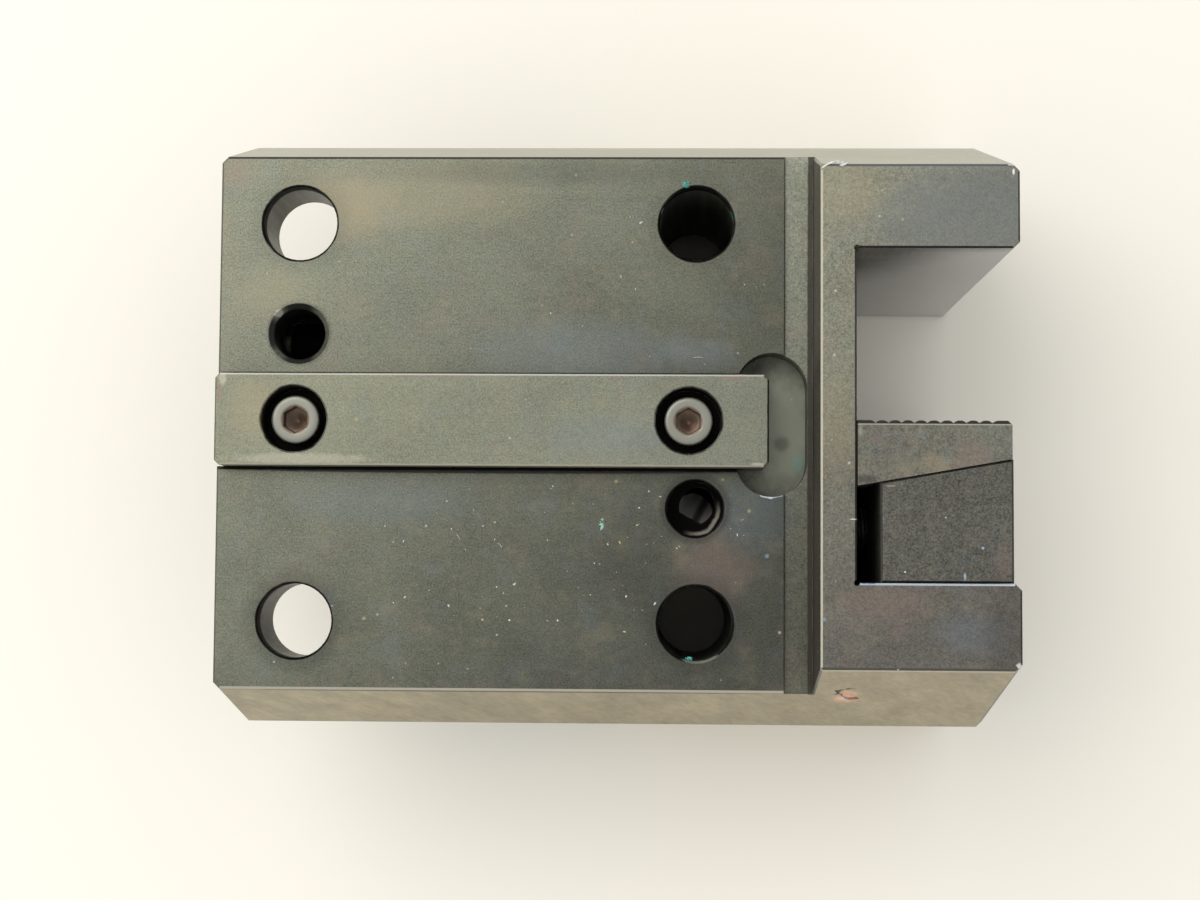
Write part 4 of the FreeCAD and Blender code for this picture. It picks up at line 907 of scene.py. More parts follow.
# Marks on the block: middle and reach in millimetres, colour, amount; the two soot_and_shade spots at depth
# 6.5 in the run-out slot are painted shade, beside the key's end and below the slot's upper rim
BLOCK_MARKS = (
    ((84, 34, 17.75), (24, 14, 6), "head_cool", 0.6),
    ((70, 31, 17.75), (9, 12, 4), "head_cool", 0.3),
    ((60, 38, 17.75), (9, 9, 4), "oxide_warm", 0.25),
    ((58, -2, 17.75), (5, 14, 4), "oxide_warm", 0.25),
    ((66, -31, 17.75), (10, 4, 4), "oxide_rose", 0.25),
    ((80, -36, 17.75), (8, 5, 4), "oxide_cool", 0.25),
    ((-28, 38, 0), (14, 9, 3), "oxide_warm", 0.45),
    ((-40, 22, 0), (9, 7, 3), "oxide_warm", 0.25),
    ((-10, 40, 0), (22, 8, 3), "oxide_warm", 0.25),
    ((-46.5, 44, 0), (5, 4, 3), "oxide_rose", 0.3),
    ((14, 12, 0), (26, 9, 3), "oxide_cool", 0.22),
    ((-20, -14, 0), (22, 6, 3), "oxide_cool", 0.20),
    ((24, -24, 0), (12, 16, 3), "soot_and_shade", 0.22),
    ((38, -26, 0), (9, 10, 3), "oxide_rose", 0.25),
    ((50.5, -1.0, -6.5), (9.0, 17.0, 1.2), "oblong", 0.9),
    ((50.3, -3.2, -6.5), (1.8, 2.0, 2), "soot_and_shade", 0.45),
    ((46.0, 9.0, -6.5), (3.0, 3.5, 2), "soot_and_shade", 0.5),
    ((86, -36, 17.75), (6, 10, 4), "soot_and_shade", 0.25),
    ((-24, 6, 0), (30, 4.5, 3), "oxide_warm", 0.15),
    ((10, 44, 0), (40, 3, 3), "oxide_deep", 0.25),
    ((53.2, -6.6, -6.5), (1.4, 2.2, 2), "residue", 0.25),
    ((45.5, -16, 0), (9, 9, 3), "oxide_cool", 0.22),
    ((36, 12, 0), (9, 4, 3), "oxide_cool", 0.25),
)

# Small marks with ragged borders, in the same order; the edge_glint mark in the upper right bore is a painted
# highlight
SMALL_MARKS = (
    ((63.4, -27.5, 16.9), (2.3, 0.7, 1.4), "blue", 0.9),
    ((87.45, 40.85, 17.75), (0.26, 0.7, 0.5), "bare", 1.0),
    ((87.15, 42.1, 17.45), (0.8, 0.35, 0.5), "bare", 0.8),
    ((87.9, -41.2, 17.5), (0.6, 0.7, 0.6), "bare", 0.9),
    ((61.2, -48.1, -4.4), (2.7, 2.0, 3.9), "scraped", 0.8),
    ((61.5, -47.1, -0.6), (2.1, 1.6, 3.6), "scraped", 0.95),
    ((61.3, -47.9, -3.9), (1.9, 1.2, 1.9), "bare", 0.4),
    ((33.2, 41.8, -0.1), (0.5, 0.4, 0.5), "residue", 0.9),
    ((33.7, -41.3, -0.3), (0.9, 0.5, 0.7), "residue", 1.0),
    ((41.3, 36.6, -2.0), (0.8, 1.5, 1.7), "residue", 0.6),
    ((41.1, 32.4, -1.8), (0.8, 1.1, 1.5), "residue", 0.45),
    ((29.0, 37.2, -1.0), (0.6, 1.2, 0.9), "edge_glint", 0.35),
    ((41.1, -33.6, -2.0), (0.7, 2.4, 1.4), "oxide_cool", 0.9),
    ((60.9, -17.3, 17.75), (0.9, 0.11, 0.5), "dust", 0.95),
    ((-38.4, 18.9, -0.2), (1.0, 1.1, 0.8), "bare", 0.35),
)

# Strokes on the block: painted shade along the upper edge of the scrape on the flank and a painted highlight
# along the lower edge of the run-out slot; from, to and half width in millimetres, colour, amount
STROKES = (
    ((59.5, -46.9, -0.7), (61.3, -45.6, 4.0), 0.6, "soot_and_shade", 0.97),
    ((61.3, -45.6, 4.0), (62.3, -45.75, 3.4), 0.45, "soot_and_shade", 0.8),
    ((45.5, -12.1, 0.1), (46.5, -12.62, 0.1), 0.3, "edge_glint", 0.9),
    ((46.5, -12.62, 0.1), (48.1, -12.98, 0.1), 0.42, "edge_glint", 1.0),
    ((48.1, -12.98, 0.1), (49.9, -12.6, 0.1), 0.32, "edge_glint", 0.9),
)

# Painted highlights on chamfers, in arcs: direction of the faces, middle and reach in millimetres, colour,
# amount
GLINT_ARCS = (
    ((0, 1, 0.8), (36.2, -41.2, -0.3), (4.2, 1.5, 0.7), "strip", 0.9),
)

JAW_MARKS = (
    ((80.5, -7.5, 17.45), (4.0, 4.5, 1.0), "oxide_rose", 0.3),
    ((74.5, -8.3, 17.45), (3.4, 2.6, 1.0), "oxide_warm", 0.3),
    ((69.0, -7.5, 17.45), (3.5, 2.5, 1.0), "oxide_pale", 0.3),
    ((63.0, -10.6, 17.45), (2.6, 1.0, 1.0), "soot_and_shade", 0.5),
    ((62.0, -2.6, 17.45), (0.4, 1.4, 1.0), "pale_edge_highlight", 0.3),
)
WEDGE_MARKS = (
    ((82.14, -21.9, 17.45), (0.32, 0.28, 0.3), "dust_blue", 1.0),
    ((79.17, -26.6, 17.45), (0.28, 0.75, 0.3), "dust_blue", 0.9),
    ((69.31, -25.94, 17.45), (0.26, 0.24, 0.3), "dust", 1.0),
    ((85.6, -24.0, 17.45), (2.2, 4.2, 0.5), "oxide_rose", 0.22),
    ((67.0, -11.7, 17.45), (1.2, 0.2, 0.5), "pale_edge_highlight", 0.35),
)

# Chamfers and walls of the block, toned by the way they face: painted shade on those turned from the light,
# painted highlight and painted reflection on those turned to it: direction, way along which the tone sets in
# (millimetres), colour, amount
BLOCK_EDGES = (
    ((1, 0, 1), ((-50, 0, 0), (-49.5, 0, 0)), "soot_and_shade", 0.95),
    ((0, 1, 1), ((0, -2, 0), (0, -4, 0)), "soot_and_shade", 0.9),
    ((0, 1, 1), ((0, 0, 8), (0, 0, 9)), "edge_glint", 0.9),
    ((0, 1, 1), ((0, 2, 0), (0, 4, 0)), "soot_and_shade", 0.85),
    ((-1, 0, 1), ((-47, 0, 0), (-48, 0, 0)), "soot_and_shade", 0.6),
    ((-1, 0, 1), ((0, 0, 3), (0, 0, 4)), "pale_edge_highlight", 0.8),
    ((0, -1, 1), ((0, 10, 0), (0, 12, 0)), "soot_and_shade", 0.95),
    ((0, -1, 1), ((0, -38, 0), (0, -40, 0)), "pale_edge_highlight", 0.8),
    ((0, -1, 1), ((0, 0, 8), (0, 0, 9)), "soot_and_shade", 0.85),
    ((-1, 0, 0), ((52, 0, 0), (54, 0, 0)), "wall", 0.9),
)

# Thin lines that run along the block, painted shade under the key, below the pad's lower edge, at the relief
# strip's edges and at the slot's inner edge, and a painted highlight along the head's lower edge: middle and
# reach in millimetres, colour, amount
BLOCK_LINES = (
    ((0, -8.55, -0.5), (60, 0.75, 1.2), "soot_and_shade", 0.95),
    ((2, -46.95, -0.85), (55, 1.2, 0.55), "soot_and_shade", 0.85),
    ((72, -42.2, 17.0), (60, 1.0, 0.5), "pale_edge_highlight", 0.7),
    ((50.45, 0, -0.2), (0.22, 120, 1.0), "soot_and_shade", 0.5),
    ((55.2, 0, -0.8), (0.9, 120, 1.2), "wall", 0.85),
    ((61.5, 0.1, 17.6), (0.2, 28.5, 0.6), "soot_and_shade", 0.6),
)


def block_steel(finish):
    """Black oxide on the milled block, olive at the plain end and brown at the far corner, painted lighter at
    the one and darker at the other as painted light and shade; painted shade and highlights on its chamfers,
    bores, ports and slots.
    """
    steel = Surface("Block Steel", finish.metallic, finish.edge_width)
    # Painted light and shade: the pad is lighter at its plain end and darker at its far corner, as the light
    # falls; the dust follows the same mask
    across = steel.slope((-49, 47, 0), (55, -47, 0))
    pad = steel.blend(across, rgba(finish.oxide_pale), rgba(finish.oxide_deep))
    head = steel.blend(steel.slope((50, 45, 0), (90, -45, 0)), rgba(finish.head_pale), rgba(finish.head_deep))
    strip = steel.blend(steel.slope((0, 40, 0), (0, -44, 0)), rgba(finish.strip), rgba(finish.strip_deep))
    past_pad = steel.slope((50.3, 0, 0), (50.45, 0, 0), 0.0)
    before_head = steel.slope((56.2, 0, 0), (55.9, 0, 0), 0.0)
    in_strip = steel.both(past_pad, before_head)
    in_strip = steel.both(in_strip, steel.slope((0, 0, -0.5), (0, 0, -0.7), 0.0))
    base = steel.blend(steel.slope((0, 0, 4), (0, 0, 8), 0.0), pad, head)
    base = steel.blend(steel.both(in_strip, steel.slope((0, 0, -4), (0, 0, -3), 0.0)), base, strip)
    steel.mottle(base, finish, 0.015, 0.36, 0.15, grain=1.05)
    level = steel.towards((0, 0, 1))
    steel.lines((70.0, 2600.0, 2600.0), 0.0000012, shade=0.05, where=level)
    # Flanks: pale tone, partly their ground finish and partly a painted reflection of the floor
    lower = steel.towards((0, -1, 0.15), 0.88, 0.96)
    upper = steel.towards((0, 1, 0.15), 0.88, 0.96)
    lower = steel.both(lower, steel.slope((0, -30, 0), (0, -34, 0), 0.0))
    steel.tint(lower, finish.flank, 0.85)
    steel.tint(steel.both(upper, steel.slope((0, 30, 0), (0, 34, 0), 0.0)), finish.flank_top, 0.85)
    steel.lines((1100.0, 1100.0, 90.0), 0.000005, (0.0, 0.35, 0.0), 0.30, lower)
    steel.lines((150.0, 90.0, 90.0), 0.0, (0.0, -0.3, 0.0), 0.26, lower)
    # Slot's upper wall: painted shade at its inner end and painted light towards its open end; the mask
    # rubbed holds this painted light
    seat = steel.both(steel.towards((0, -1, 0), 0.97, 0.99), steel.slope((0, 20, 0), (0, 22, 0), 0.0))
    rubbed = steel.slope((64, 28, 12), (82, 28, 4), 0.5)
    steel.tint(steel.both(seat, steel.slope((84, 28, 4), (66, 28, 12), 0.3)), finish.soot_and_shade, 0.55)
    steel.lines((1300.0, 1300.0, 170.0), 0.000002, (0.0, 0.0, 0.0), 0.9, seat)
    steel.tint(steel.both(seat, rubbed), finish.lit_slot_wall, 0.95)
    steel.marks(BLOCK_MARKS, finish, 0.75, 0.6, 0.003)
    # Bolt bores: an oily ring round each mouth, darker round the lower two; painted shade on the lip and down
    # the wall, darker deeper in
    bores = []
    for x, y in BOLT_BORES:
        steel.tint(bore_ring(steel, (x, y), BOLT_BORE_RADIUS, 4.2), finish.soot_and_shade, 0.35 if y < 0 else 0.15)
        lip = bore_ring(steel, (x, y), BOLT_BORE_RADIUS, 0.5, 0.5)
        steel.paint_deep_shade(steel.both(lip, steel.slope((0, 0, -1), (0, 0, -0.4), 0.0)), finish, 0.8)
        steel.paint_deep_shade(steel.both(lip, steel.slope((0, 0, -3.4), (0, 0, -2.6), 0.25)), finish)
        bores.append(lip)
    walls = steel.maths("ADD", steel.maths("ADD", bores[0], bores[1]), steel.maths("ADD", bores[2], bores[3]))
    below = steel.both(walls, steel.slope((0, 0, -2.2), (0, 0, -3.6), 0.0))
    steel.tint(below, finish.wedge, 0.6)
    steel.lines((700.0, 700.0, 55.0), 0.000004, (0.0, 0.0, 0.0), 0.9, below)
    # Ports: painted shade inside them and a darker ring round their mouths
    for x, y, radius in PORTS:
        inside = bore_ring(steel, (x, y), radius - 0.05, 0.25, 0.3)
        steel.tint(bore_ring(steel, (x, y), radius + 0.5, 1.2, 1.2), finish.soot_and_shade, 0.45)
        steel.paint_deep_shade(inside, finish, 0.98)
    # Second port: painted light on the drilling below its floor (mask deep) and a painted highlight on the
    # floor's lit side (mask shining)
    port = PORTS[1][:2]
    middle = bore_ring(steel, port, 3.1, 0.3, 0.4)
    deep = steel.both(middle, steel.slope((0, 0, -8.2), (0, 0, -8.6), 0.0))
    steel.tint(deep, finish.bare, 0.45)
    steel.polish(deep, 0.6, 0.3)
    outer, inner = bore_ring(steel, port, 4.3, 0.4, 1.2), bore_ring(steel, port, 3.5, 0.6, 1.6)
    lit_side = steel.slope((35.6, -15.9, 0), (37.6, -18.1, 0), 0.0)
    below_wall = steel.slope((0, 0, -7.6), (0, 0, -7.9), 0.0)
    above_drilling = steel.slope((0, 0, -8.3), (0, 0, -8.1), 0.0)
    ring = steel.maths("SUBTRACT", 1.0, inner)
    shining = steel.both(outer, ring, lit_side, below_wall, above_drilling)
    steel.tint(shining, finish.pale_edge_highlight, 0.75)
    steel.polish(shining, 0.5, 0.3)
    # Painted shade and highlights on chamfers by the way they face
    for direction, way, colour, amount in BLOCK_EDGES:
        chamfer = steel.both(steel.towards(direction), steel.slope(*way, 0.0))
        steel.tint(chamfer, getattr(finish, colour), amount)
    steel.marks(BLOCK_LINES, finish, 0.3, 0.25, 0.0015)
    steel.marks(SMALL_MARKS, finish, 0.45, 1.3, 0.0007)
    for start, end, width, colour, amount in STROKES:
        steel.tint(steel.streak(start, end, width, 0.3), getattr(finish, colour), amount)
    for direction, middle, reach, colour, amount in GLINT_ARCS:
        glint = steel.both(steel.towards(direction, 0.75, 0.85), steel.spot(middle, reach, 0.4, 0.25, 0.0015))
        steel.tint(glint, getattr(finish, colour), amount)
    steel.wear(finish.bare, 0.15)
    steel.dust(finish, 0.8, steel.maths("MULTIPLY_ADD", across, 0.75, 0.25))
    return steel.finish()


def paint_chamfer_shade(surface, finish):
    """Painted shade on the chamfers round a face that looks up, darkest on those facing +X and -Y, away from
    the light.
    """
    surface.tint(surface.towards((1, 0, 1)), finish.soot_and_shade, 0.9)
    surface.tint(surface.towards((0, 1, 1)), finish.soot_and_shade, 0.65)
    surface.tint(surface.towards((-1, 0, 1)), finish.soot_and_shade, 0.6)
    surface.tint(surface.towards((0, -1, 1)), finish.soot_and_shade, 0.85)


def bore_ring(surface, place, radius, reach, uneven=3.0):
    """Mask of a ring round a bore, in millimetres, for oily rings and dirt and for painted shade."""
    values = {
        "Vector": surface.place,
        "Centre": (place[0] * MM, place[1] * MM, 0.0),
        "Radius": radius * MM,
        "Reach": reach * MM,
        "Rough": surface.rough_by(uneven * MM, 0.004),
    }
    return surface.group(effect("ring_mask"), values).outputs[0]


def key_steel(finish):
    """Ground key with a thin, pale oxide: a painted highlight on its upper and lower chamfers, painted shade
    on its end chamfers and in the recesses round its screws.
    """
    steel = Surface("Key Steel", finish.metallic, finish.edge_width)
    base = steel.blend(steel.slope((-49, 6, 0), (40, -8, 0)), rgba(finish.key), rgba(finish.key_far))
    steel.mottle(base, finish, 0.014, 0.30, 0.16, grain=0.8)
    steel.lines((50.0, 3200.0, 3200.0), 0.0000012, shade=0.05)
    # Painted shade in the recesses round the screw heads
    for x in KEY_SCREWS:
        steel.paint_deep_shade(bore_ring(steel, (x, 0), KEY_RECESS + 0.05, 0.35, 0.5), finish)
    steel.marks(KEY_MARKS, finish, 0.6, 0.9, 0.0012)
    # Painted shade on the end chamfers, painted highlight on the upper and lower chamfers
    steel.tint(steel.towards((1, 0, 1)), finish.soot_and_shade, 0.9)
    steel.tint(steel.towards((-1, 0, 1)), finish.soot_and_shade, 0.6)
    steel.tint(steel.towards((0, 1, 1)), finish.bare, 0.85)
    steel.tint(steel.towards((0, -1, 1)), finish.pale_edge_highlight, 0.7)
    steel.wear(finish.bare, 0.4)
    steel.dust(finish, 0.3)
    return steel.finish()


def jaw_steel(finish):
    """Blackened jaw with brownish and greenish clouds, with painted shade on its chamfers and at its ribs'
    ends and a painted highlight line below them.
    """
    steel = Surface("Jaw Steel", finish.metallic, finish.edge_width)
    steel.mottle(finish.jaw, finish, 0.010, 0.36, 0.3, grain=1.15)
    steel.lines((60.0, 2400.0, 2400.0), 0.0000012, shade=0.06)
    paint_chamfer_shade(steel, finish)
    steel.marks(JAW_MARKS, finish, 0.6, 0.7, 0.0012)
    # Painted highlight line below the ribs' ends and painted shade at the ribs' ends
    steel.tint(steel.slope((0, -1.62, 0), (0, -1.52, 0), 0.0), finish.pale_edge_highlight, 0.6)
    steel.tint(steel.slope((0, -1.42, 0), (0, -1.32, 0), 0.0), finish.soot_and_shade, 0.97)
    steel.wear(finish.bare, 0.25)
    steel.dust(finish, 0.4)
    return steel.finish()


def wedge_steel(finish):
    """Blackened wedge, darker, with an even fine grain and a few specks."""
    steel = Surface("Wedge Steel", finish.metallic, finish.edge_width)
    steel.mottle(finish.wedge, finish, 0.014, 0.2, 0.09, grain=1.6)
    steel.lines((2400.0, 80.0, 2400.0), 0.0000012, shade=0.06)
    paint_chamfer_shade(steel, finish)
    steel.marks(WEDGE_MARKS, finish, 0.6, 0.9, 0.0006)
    steel.wear(finish.bare, 0.15)
    steel.dust(finish, 0.9)
    return steel.finish()


def screw_steel(finish):
    """Oiled black steel of the wedge screws and the gallery plug."""
    steel = Surface("Screw Steel", finish.metallic, finish.edge_width)
    steel.mottle(finish.screw, finish, 0.004, 0.3, 0.2, 0.36)
    steel.wear(finish.bare, 0.4)
    return steel.finish(0.2)


def key_screw_steel(finish):
    """Black screw whose head is rubbed bright on its rim, with brown dirt in its socket."""
    steel = Surface("Key Screw Steel", finish.metallic, finish.edge_width)
    steel.mottle(finish.screw, finish, 0.004, 0.3, 0.2, 0.36)
    rubbed = steel.slope((0, 0, 2.35), (0, 0, 2.85), 0.0)
    steel.tint(rubbed, finish.screw_rim, 0.92)
    for x in KEY_SCREWS:
        steel.tint(bore_ring(steel, (x, 0), 2.25, 0.5, 0.9), finish.dirt, 0.9)
        # Painted shade on the left side of each socket
        steel.tint(steel.spot((x - 1.5, 0.6, 1.2), (1.5, 2.4, 2.2), 0.5, 0.9, 0.0008), finish.soot_and_shade, 0.85)
        steel.tint(steel.spot((x + 0.9, -0.5, 0.8), (0.9, 1.1, 1.6), 0.7, 0.9, 0.0008), finish.scraped, 0.35)
        steel.tint(bore_ring(steel, (x, 0), 2.3, 0.25, 0.3), finish.dirt, 0.5)
    steel.wear(finish.bare, 0.3)
    return steel.finish(0.2)


def plain_metal(name, colour, finish, roughness, metallic, scales):
    """Small hidden piece of metal with the lines of its making."""
    steel = Surface(name, metallic, finish.edge_width)
    steel.mottle(colour, finish, 0.005, 0.12, 0.05, roughness)
    steel.lines(scales, 0.000001, shade=0.05)
    steel.wear(finish.bare, 0.3)
    return steel.finish()


def seal_rubber(finish):
    """Smooth black rubber with a faint bloom."""
    rubber = Surface("Seal Rubber", 0.0, finish.edge_width)
    rubber.mottle(finish.rubber, finish, 0.003, 0.3, 0.03, 0.6)
    return rubber.finish()


def dress(node, material):
    """Gives a node of the frame its material."""
    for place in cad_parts[node].material_slots:
        place.material = material


class PieceOperator:
    """What the operators of the pieces share."""

    bl_options = {"REGISTER", "UNDO"}


class TOOLHOLDER_OT_block(PieceOperator, Operator):
    """Finishes the block"""

    bl_idname = "tool_holder.block"
    bl_label = "Block"

    def execute(self, context):
        dress("holder_body", block_steel(context.scene.holder_finish))
        return {"FINISHED"}


class TOOLHOLDER_OT_key(PieceOperator, Operator):
    """Finishes the turret key"""

    bl_idname = "tool_holder.key"
    bl_label = "Turret Key"

    def execute(self, context):
        dress("turret_key", key_steel(context.scene.holder_finish))
        return {"FINISHED"}


class TOOLHOLDER_OT_jaw(PieceOperator, Operator):
    """Finishes the ribbed jaw"""

    bl_idname = "tool_holder.jaw"
    bl_label = "Jaw"

    def execute(self, context):
        dress("clamp_jaw", jaw_steel(context.scene.holder_finish))
        return {"FINISHED"}


class TOOLHOLDER_OT_wedge(PieceOperator, Operator):
    """Finishes the wedge"""

    bl_idname = "tool_holder.wedge"
    bl_label = "Wedge"

    def execute(self, context):
        dress("clamp_wedge", wedge_steel(context.scene.holder_finish))
        return {"FINISHED"}


class TOOLHOLDER_OT_small_metal(PieceOperator, Operator):
    """Finishes the guide pins, the retaining rings and the nozzle"""

    bl_idname = "tool_holder.small_metal"
    bl_label = "Pins, Rings and Nozzle"

    def execute(self, context):
        finish = context.scene.holder_finish
        pin = plain_metal("Pin Steel", finish.ground, finish, 0.28, 1.0, (4000.0, 90.0, 90.0))
        spring = plain_metal("Spring Steel", finish.spring, finish, 0.5, 0.7, (300.0, 300.0, 300.0))
        nozzle = plain_metal("Nozzle Steel", finish.nozzle, finish, 0.35, 1.0, (90.0, 90.0, 5000.0))
        for end in ("near", "far"):
            dress(f"jaw_pin_{end}", pin)
            dress(f"wedge_clip_{end}", spring)
        for node in ("nozzle_ball", "nozzle_ring"):
            dress(node, nozzle)
        dress("nozzle_seal", seal_rubber(finish))
        return {"FINISHED"}


class TOOLHOLDER_OT_screws(PieceOperator, Operator):
    """Makes the key screws, the wedge screws and the gallery plug with sockets, knurls and threads"""

    bl_idname = "tool_holder.screws"
    bl_label = "Screws"

    def execute(self, context):
        sizes = context.scene.screw_sizes
        finish = context.scene.holder_finish
        black, rubbed = screw_steel(finish), key_screw_steel(finish)
        key = (KEY_SCREW_AXIS, sizes.key_thread, sizes.key_pitch, sizes.key_hexagon)
        draw = (SCREW_DRAW_AXIS, sizes.draw_thread, sizes.draw_pitch, sizes.draw_hexagon)
        plug = (PLUG_AXIS, None, sizes.plug_pitch, sizes.plug_hexagon)
        kinds = {
            "key_screw_at_left": (*key, "holder"),
            "key_screw_at_right": (*key, "holder"),
            "wedge_screw_near": (*draw, "screw_near"),
            "wedge_screw_far": (*draw, "screw_far"),
            "gallery_plug": (*plug, "holder"),
        }
        for node, (axis, thread, pitch, hexagon, body) in kinds.items():
            low, high = corner(node, 0), corner(node, 1)
            along = np.abs(np.array(axis))
            total = float((high - low) @ along)
            widest = float(np.max((high - low) * (1 - along)))
            start = low if sum(axis) > 0 else high
            tip = along * start + (1 - along) * (low + high) / 2
            head = (widest / 2, thread) if thread else None
            across = thread or widest
            piece = turned_screw(f"detailed_{node}", axis, tip, total, across, pitch, hexagon, head, sizes)
            piece.data.materials.append(rubbed if axis == KEY_SCREW_AXIS else black)
            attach(piece, body)
            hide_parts(node)
        return {"FINISHED"}


# Torn metal at the head's corner: path of three points in millimetres, width, thickness, lean, roughness
SLIVERS = (
    (((55.35, 41.2, 17.45), (56.5, 42.45, 17.55), (58.9, 42.85, 17.42)), 0.42, 0.16, 0.5, 0.5),
    (((57.9, 41.55, 17.62), (59.0, 41.8, 17.62), (60.0, 42.5, 17.50)), 0.6, 0.16, 0.3, 0.5),
    (((56.6, 42.25, 17.3), (57.9, 42.55, 17.35), (59.6, 42.5, 17.42)), 0.30, 0.14, 0.2, 0.6),
)
# Crumbs: middle and reach of the patch in millimetres, count, size in millimetres, colour, and whether
# they lie on the pad alone
CRUMBS = {
    "residue_at_upper_bore": ((33.1, 42.2, 0.02), (0.75, 0.5, 0.0), 20, 0.27, "residue", False),
    "residue_at_lower_bore": ((33.7, -41.1, -0.75), (0.65, 0.12, 0.4), 24, 0.36, "residue", False),
    "flecks_below_port": ((18.6, -17.6, 0.02), (0.3, 1.0, 0.0), 7, 0.42, "dust_green", True),
    "flecks_beside_port": ((41.8, -17.4, 0.02), (1.6, 2.4, 0.0), 9, 0.28, "dust", True),
    "flecks_on_pad": ((4.0, -24.0, 0.02), (26.0, 14.0, 0.0), 52, 0.29, "dust", True),
    "straw_flecks_on_pad": ((16.0, -22.0, 0.02), (26.0, 16.0, 0.0), 26, 0.30, "dust_straw", True),
    "flecks_above_key": ((16.0, 24.0, 0.02), (30.0, 14.0, 0.0), 18, 0.26, "dust", True),
}
FIBRES = (
    (((34.2, 11.2, 0.08), (35.2, 11.7, 0.12), (36.4, 11.2, 0.08)), 0.16),
    (((-6.9, -19.6, 0.08), (-6.2, -20.2, 0.12), (-6.0, -20.9, 0.08)), 0.12),
    (((0.4, -21.2, 0.08), (1.1, -21.5, 0.12), (1.3, -22.2, 0.08)), 0.12),
)
CRUMB_SEED = 40
FIBRE_SEED = 60

# Free part of the pad in millimetres: clear of the key's groove, the long edges, the ends, the rims of the
# bores and the run-out slot
GROOVE_CLEAR = 9.5
LONG_EDGE_CLEAR = 46
PAD_START = -48
PAD_END = 50
RIM_CLEAR = 0.35
RUNOUT_CLEAR = 13.5
RUNOUT_START = 41


def mark_material(name, colour, roughness, metallic, finish):
    """Uneven tone and fine grain for a small mark."""
    mark = Surface(name, metallic, finish.edge_width)
    mark.mottle(colour, finish, 0.001, 0.5, 0.05, roughness, 0.8)
    return mark.finish()


class TOOLHOLDER_OT_slivers(PieceOperator, Operator):
    """Makes the torn metal at the head's upper corner"""

    bl_idname = "tool_holder.slivers"
    bl_label = "Torn Metal"

    def execute(self, context):
        finish = context.scene.holder_finish
        bare = mark_material("Torn Metal", finish.bare, 0.35, 0.4, finish)
        for number, (path, width, thickness, lean, rough) in enumerate(SLIVERS):
            path = np.array(path) * MM
            piece = bent_sliver(f"torn_metal_{number}", path, width * MM, thickness * MM, lean, rough, number)
            piece.data.materials.append(bare)
            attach(piece, "holder")
        return {"FINISHED"}


class TOOLHOLDER_OT_crumbs(PieceOperator, Operator):
    """Makes the thread residue, the flecks and the fibres that lie on the pad"""

    bl_idname = "tool_holder.crumbs"
    bl_label = "Residue, Flecks and Fibres"

    def execute(self, context):
        finish = context.scene.holder_finish
        made = {}
        for number, (name, (middle, reach, count, size, colour, flat)) in enumerate(CRUMBS.items()):
            chance = np.random.default_rng(number + CRUMB_SEED)
            places = np.array(middle) + (chance.random((count, 3)) * 2 - 1) * reach
            sizes = size * (0.5 + 0.9 * chance.random(count) ** 2)
            held = on_pad(places) if flat else np.full(count, True)
            piece = scattered_flecks(name, places[held] * MM, sizes[held] * MM, number)
            if colour not in made:
                title = colour.replace("_", " ").title()
                made[colour] = mark_material(title, getattr(finish, colour), 0.8, 0.0, finish)
            piece.data.materials.append(made[colour])
            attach(piece, "holder")
        for number, (path, width) in enumerate(FIBRES):
            path = np.array(path) * MM
            thick = width * MM
            piece = bent_sliver(f"fibre_{number}", path, thick, thick, 0.0, 0.3, number + FIBRE_SEED)
            piece.data.materials.append(made["dust"])
            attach(piece, "holder")
        return {"FINISHED"}


def on_pad(places):
    """Which of the places, in millimetres, lie on the pad and clear of its bores, the key and the strip."""
    x, y = places[:, 0], places[:, 1]
    away = np.abs(y)
    held = (away > GROOVE_CLEAR) & (away < LONG_EDGE_CLEAR) & (x > PAD_START) & (x < PAD_END)
    for across, up, radius in [(x0, y0, BOLT_BORE_RADIUS) for x0, y0 in BOLT_BORES] + list(PORTS):
        held &= np.hypot(x - across, y - up) > radius + RIM_CLEAR
    return held & ((away > RUNOUT_CLEAR) | (x < RUNOUT_START))


class TOOLHOLDER_OT_stage(PieceOperator, Operator):
    """Makes the floor, the lamps, the even light and the camera"""

    bl_idname = "tool_holder.stage"
    bl_label = "Stage"

    def execute(self, context):
        settings = context.scene.stage_settings
        make_floor(settings)
        make_lamp("main_lamp", settings.main_place, settings.main_size, settings.main_level)
        make_lamp("side_lamp", settings.side_place, settings.side_size, settings.side_level)
        make_sky(context.scene, settings)
        make_camera(context.scene, settings)
        return {"FINISHED"}


def make_floor(settings):
    """Square floor under the part."""
    half = settings.floor_size / 2
    corners = np.array([(-half, -half), (half, -half), (half, half), (-half, half)])
    points = np.column_stack([corners, np.full(len(corners), FLOOR_HEIGHT)])
    floor = new_object("floor", points, (np.array([[0, 1, 2, 3]]),), smooth=False)
    paper = bpy.data.materials.new("Floor")
    paper.use_nodes = True
    shader = paper.node_tree.nodes["Principled BSDF"]
    shader.inputs["Base Color"].default_value = rgba(settings.floor)
    shader.inputs["Roughness"].default_value = 0.9
    shader.inputs["Specular IOR Level"].default_value = 0.2
    floor.data.materials.append(paper)


def make_lamp(name, place, size, power):
    """Square soft lamp that looks at the middle of the part."""
    lamp = bpy.data.lights.new(name, "AREA")
    lamp.shape = "SQUARE"
    lamp.size = size
    lamp.energy = power
    holder = bpy.data.objects.new(name, lamp)
    middle = Vector(((BLOCK_LOW + BLOCK_HIGH) / 2).tolist())
    holder.location = place
    holder.rotation_euler = (middle - Vector(place)).to_track_quat("-Z", "Y").to_euler()
    bpy.context.scene.collection.objects.link(holder)


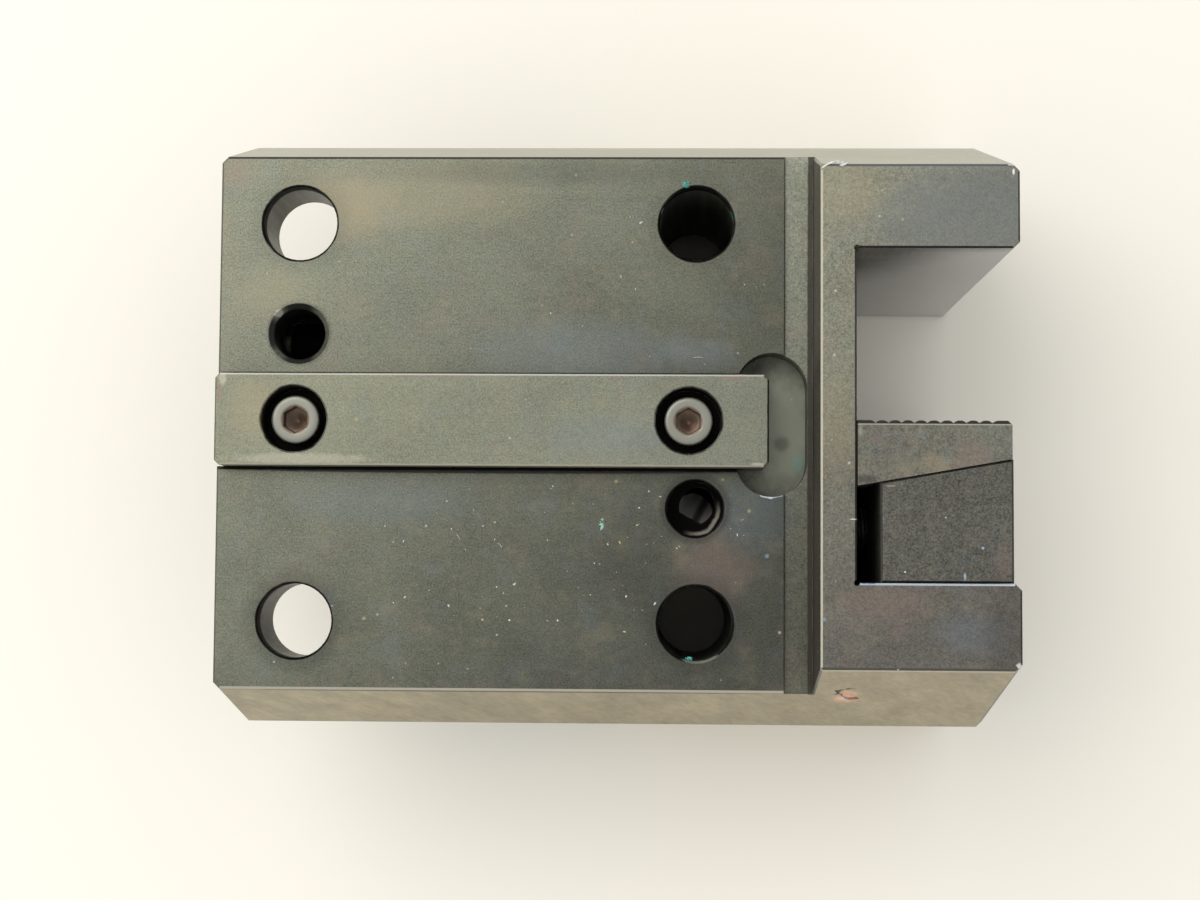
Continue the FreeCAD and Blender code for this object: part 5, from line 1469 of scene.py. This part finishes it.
def make_sky(scene, settings):
    """Even light from all round, which is also what is seen past the floor."""
    world = bpy.data.worlds.new("Sky")
    world.use_nodes = True
    background = world.node_tree.nodes["Background"]
    background.inputs["Color"].default_value = rgba(settings.sky)
    background.inputs["Strength"].default_value = settings.sky_level
    scene.world = world


def make_camera(scene, settings):
    """Camera above the mounting face, at the photograph's angle and distance."""
    turn = Euler(settings.camera_tilt).to_matrix()
    eye = turn.transposed() @ (Vector((0, 0, settings.camera_reach)) - Vector(settings.camera_shift))
    camera = bpy.data.cameras.new("camera")
    camera.sensor_width = SENSOR
    camera.lens = settings.focal_pixels / PHOTO_WIDTH * SENSOR
    camera.clip_start = 0.01
    holder = bpy.data.objects.new("camera", camera)
    holder.matrix_world = Matrix.Translation(eye) @ turn.transposed().to_4x4()
    scene.collection.objects.link(holder)
    scene.camera = holder
    scene.view_settings.view_transform = "Standard"


OPERATORS = (
    TOOLHOLDER_OT_block,
    TOOLHOLDER_OT_key,
    TOOLHOLDER_OT_jaw,
    TOOLHOLDER_OT_wedge,
    TOOLHOLDER_OT_small_metal,
    TOOLHOLDER_OT_screws,
    TOOLHOLDER_OT_slivers,
    TOOLHOLDER_OT_crumbs,
    TOOLHOLDER_OT_stage,
)


class TOOLHOLDER_PT_panel(Panel):
    """Lists the steps that finish the tool holder"""

    bl_idname = "TOOLHOLDER_PT_panel"
    bl_label = "Turret Tool Holder"
    bl_space_type = "VIEW_3D"
    bl_region_type = "UI"
    bl_category = "Tool Holder"

    def draw(self, context):
        for operator in OPERATORS:
            self.layout.operator(operator.bl_idname)


SETTINGS = {"holder_finish": HolderFinish, "screw_sizes": ScrewSizes, "stage_settings": StageSettings}
CLASSES = (*SETTINGS.values(), *OPERATORS, TOOLHOLDER_PT_panel)


def register():
    for kind in CLASSES:
        bpy.utils.register_class(kind)
    for name, kind in SETTINGS.items():
        setattr(bpy.types.Scene, name, PointerProperty(type=kind))


def unregister():
    for name in SETTINGS:
        delattr(bpy.types.Scene, name)
    for kind in reversed(CLASSES):
        bpy.utils.unregister_class(kind)


def main():
    register()
    for operator in OPERATORS:
        group, name = operator.bl_idname.split(".")
        getattr(getattr(bpy.ops, group), name)()


if __name__ == "__main__":
    main()
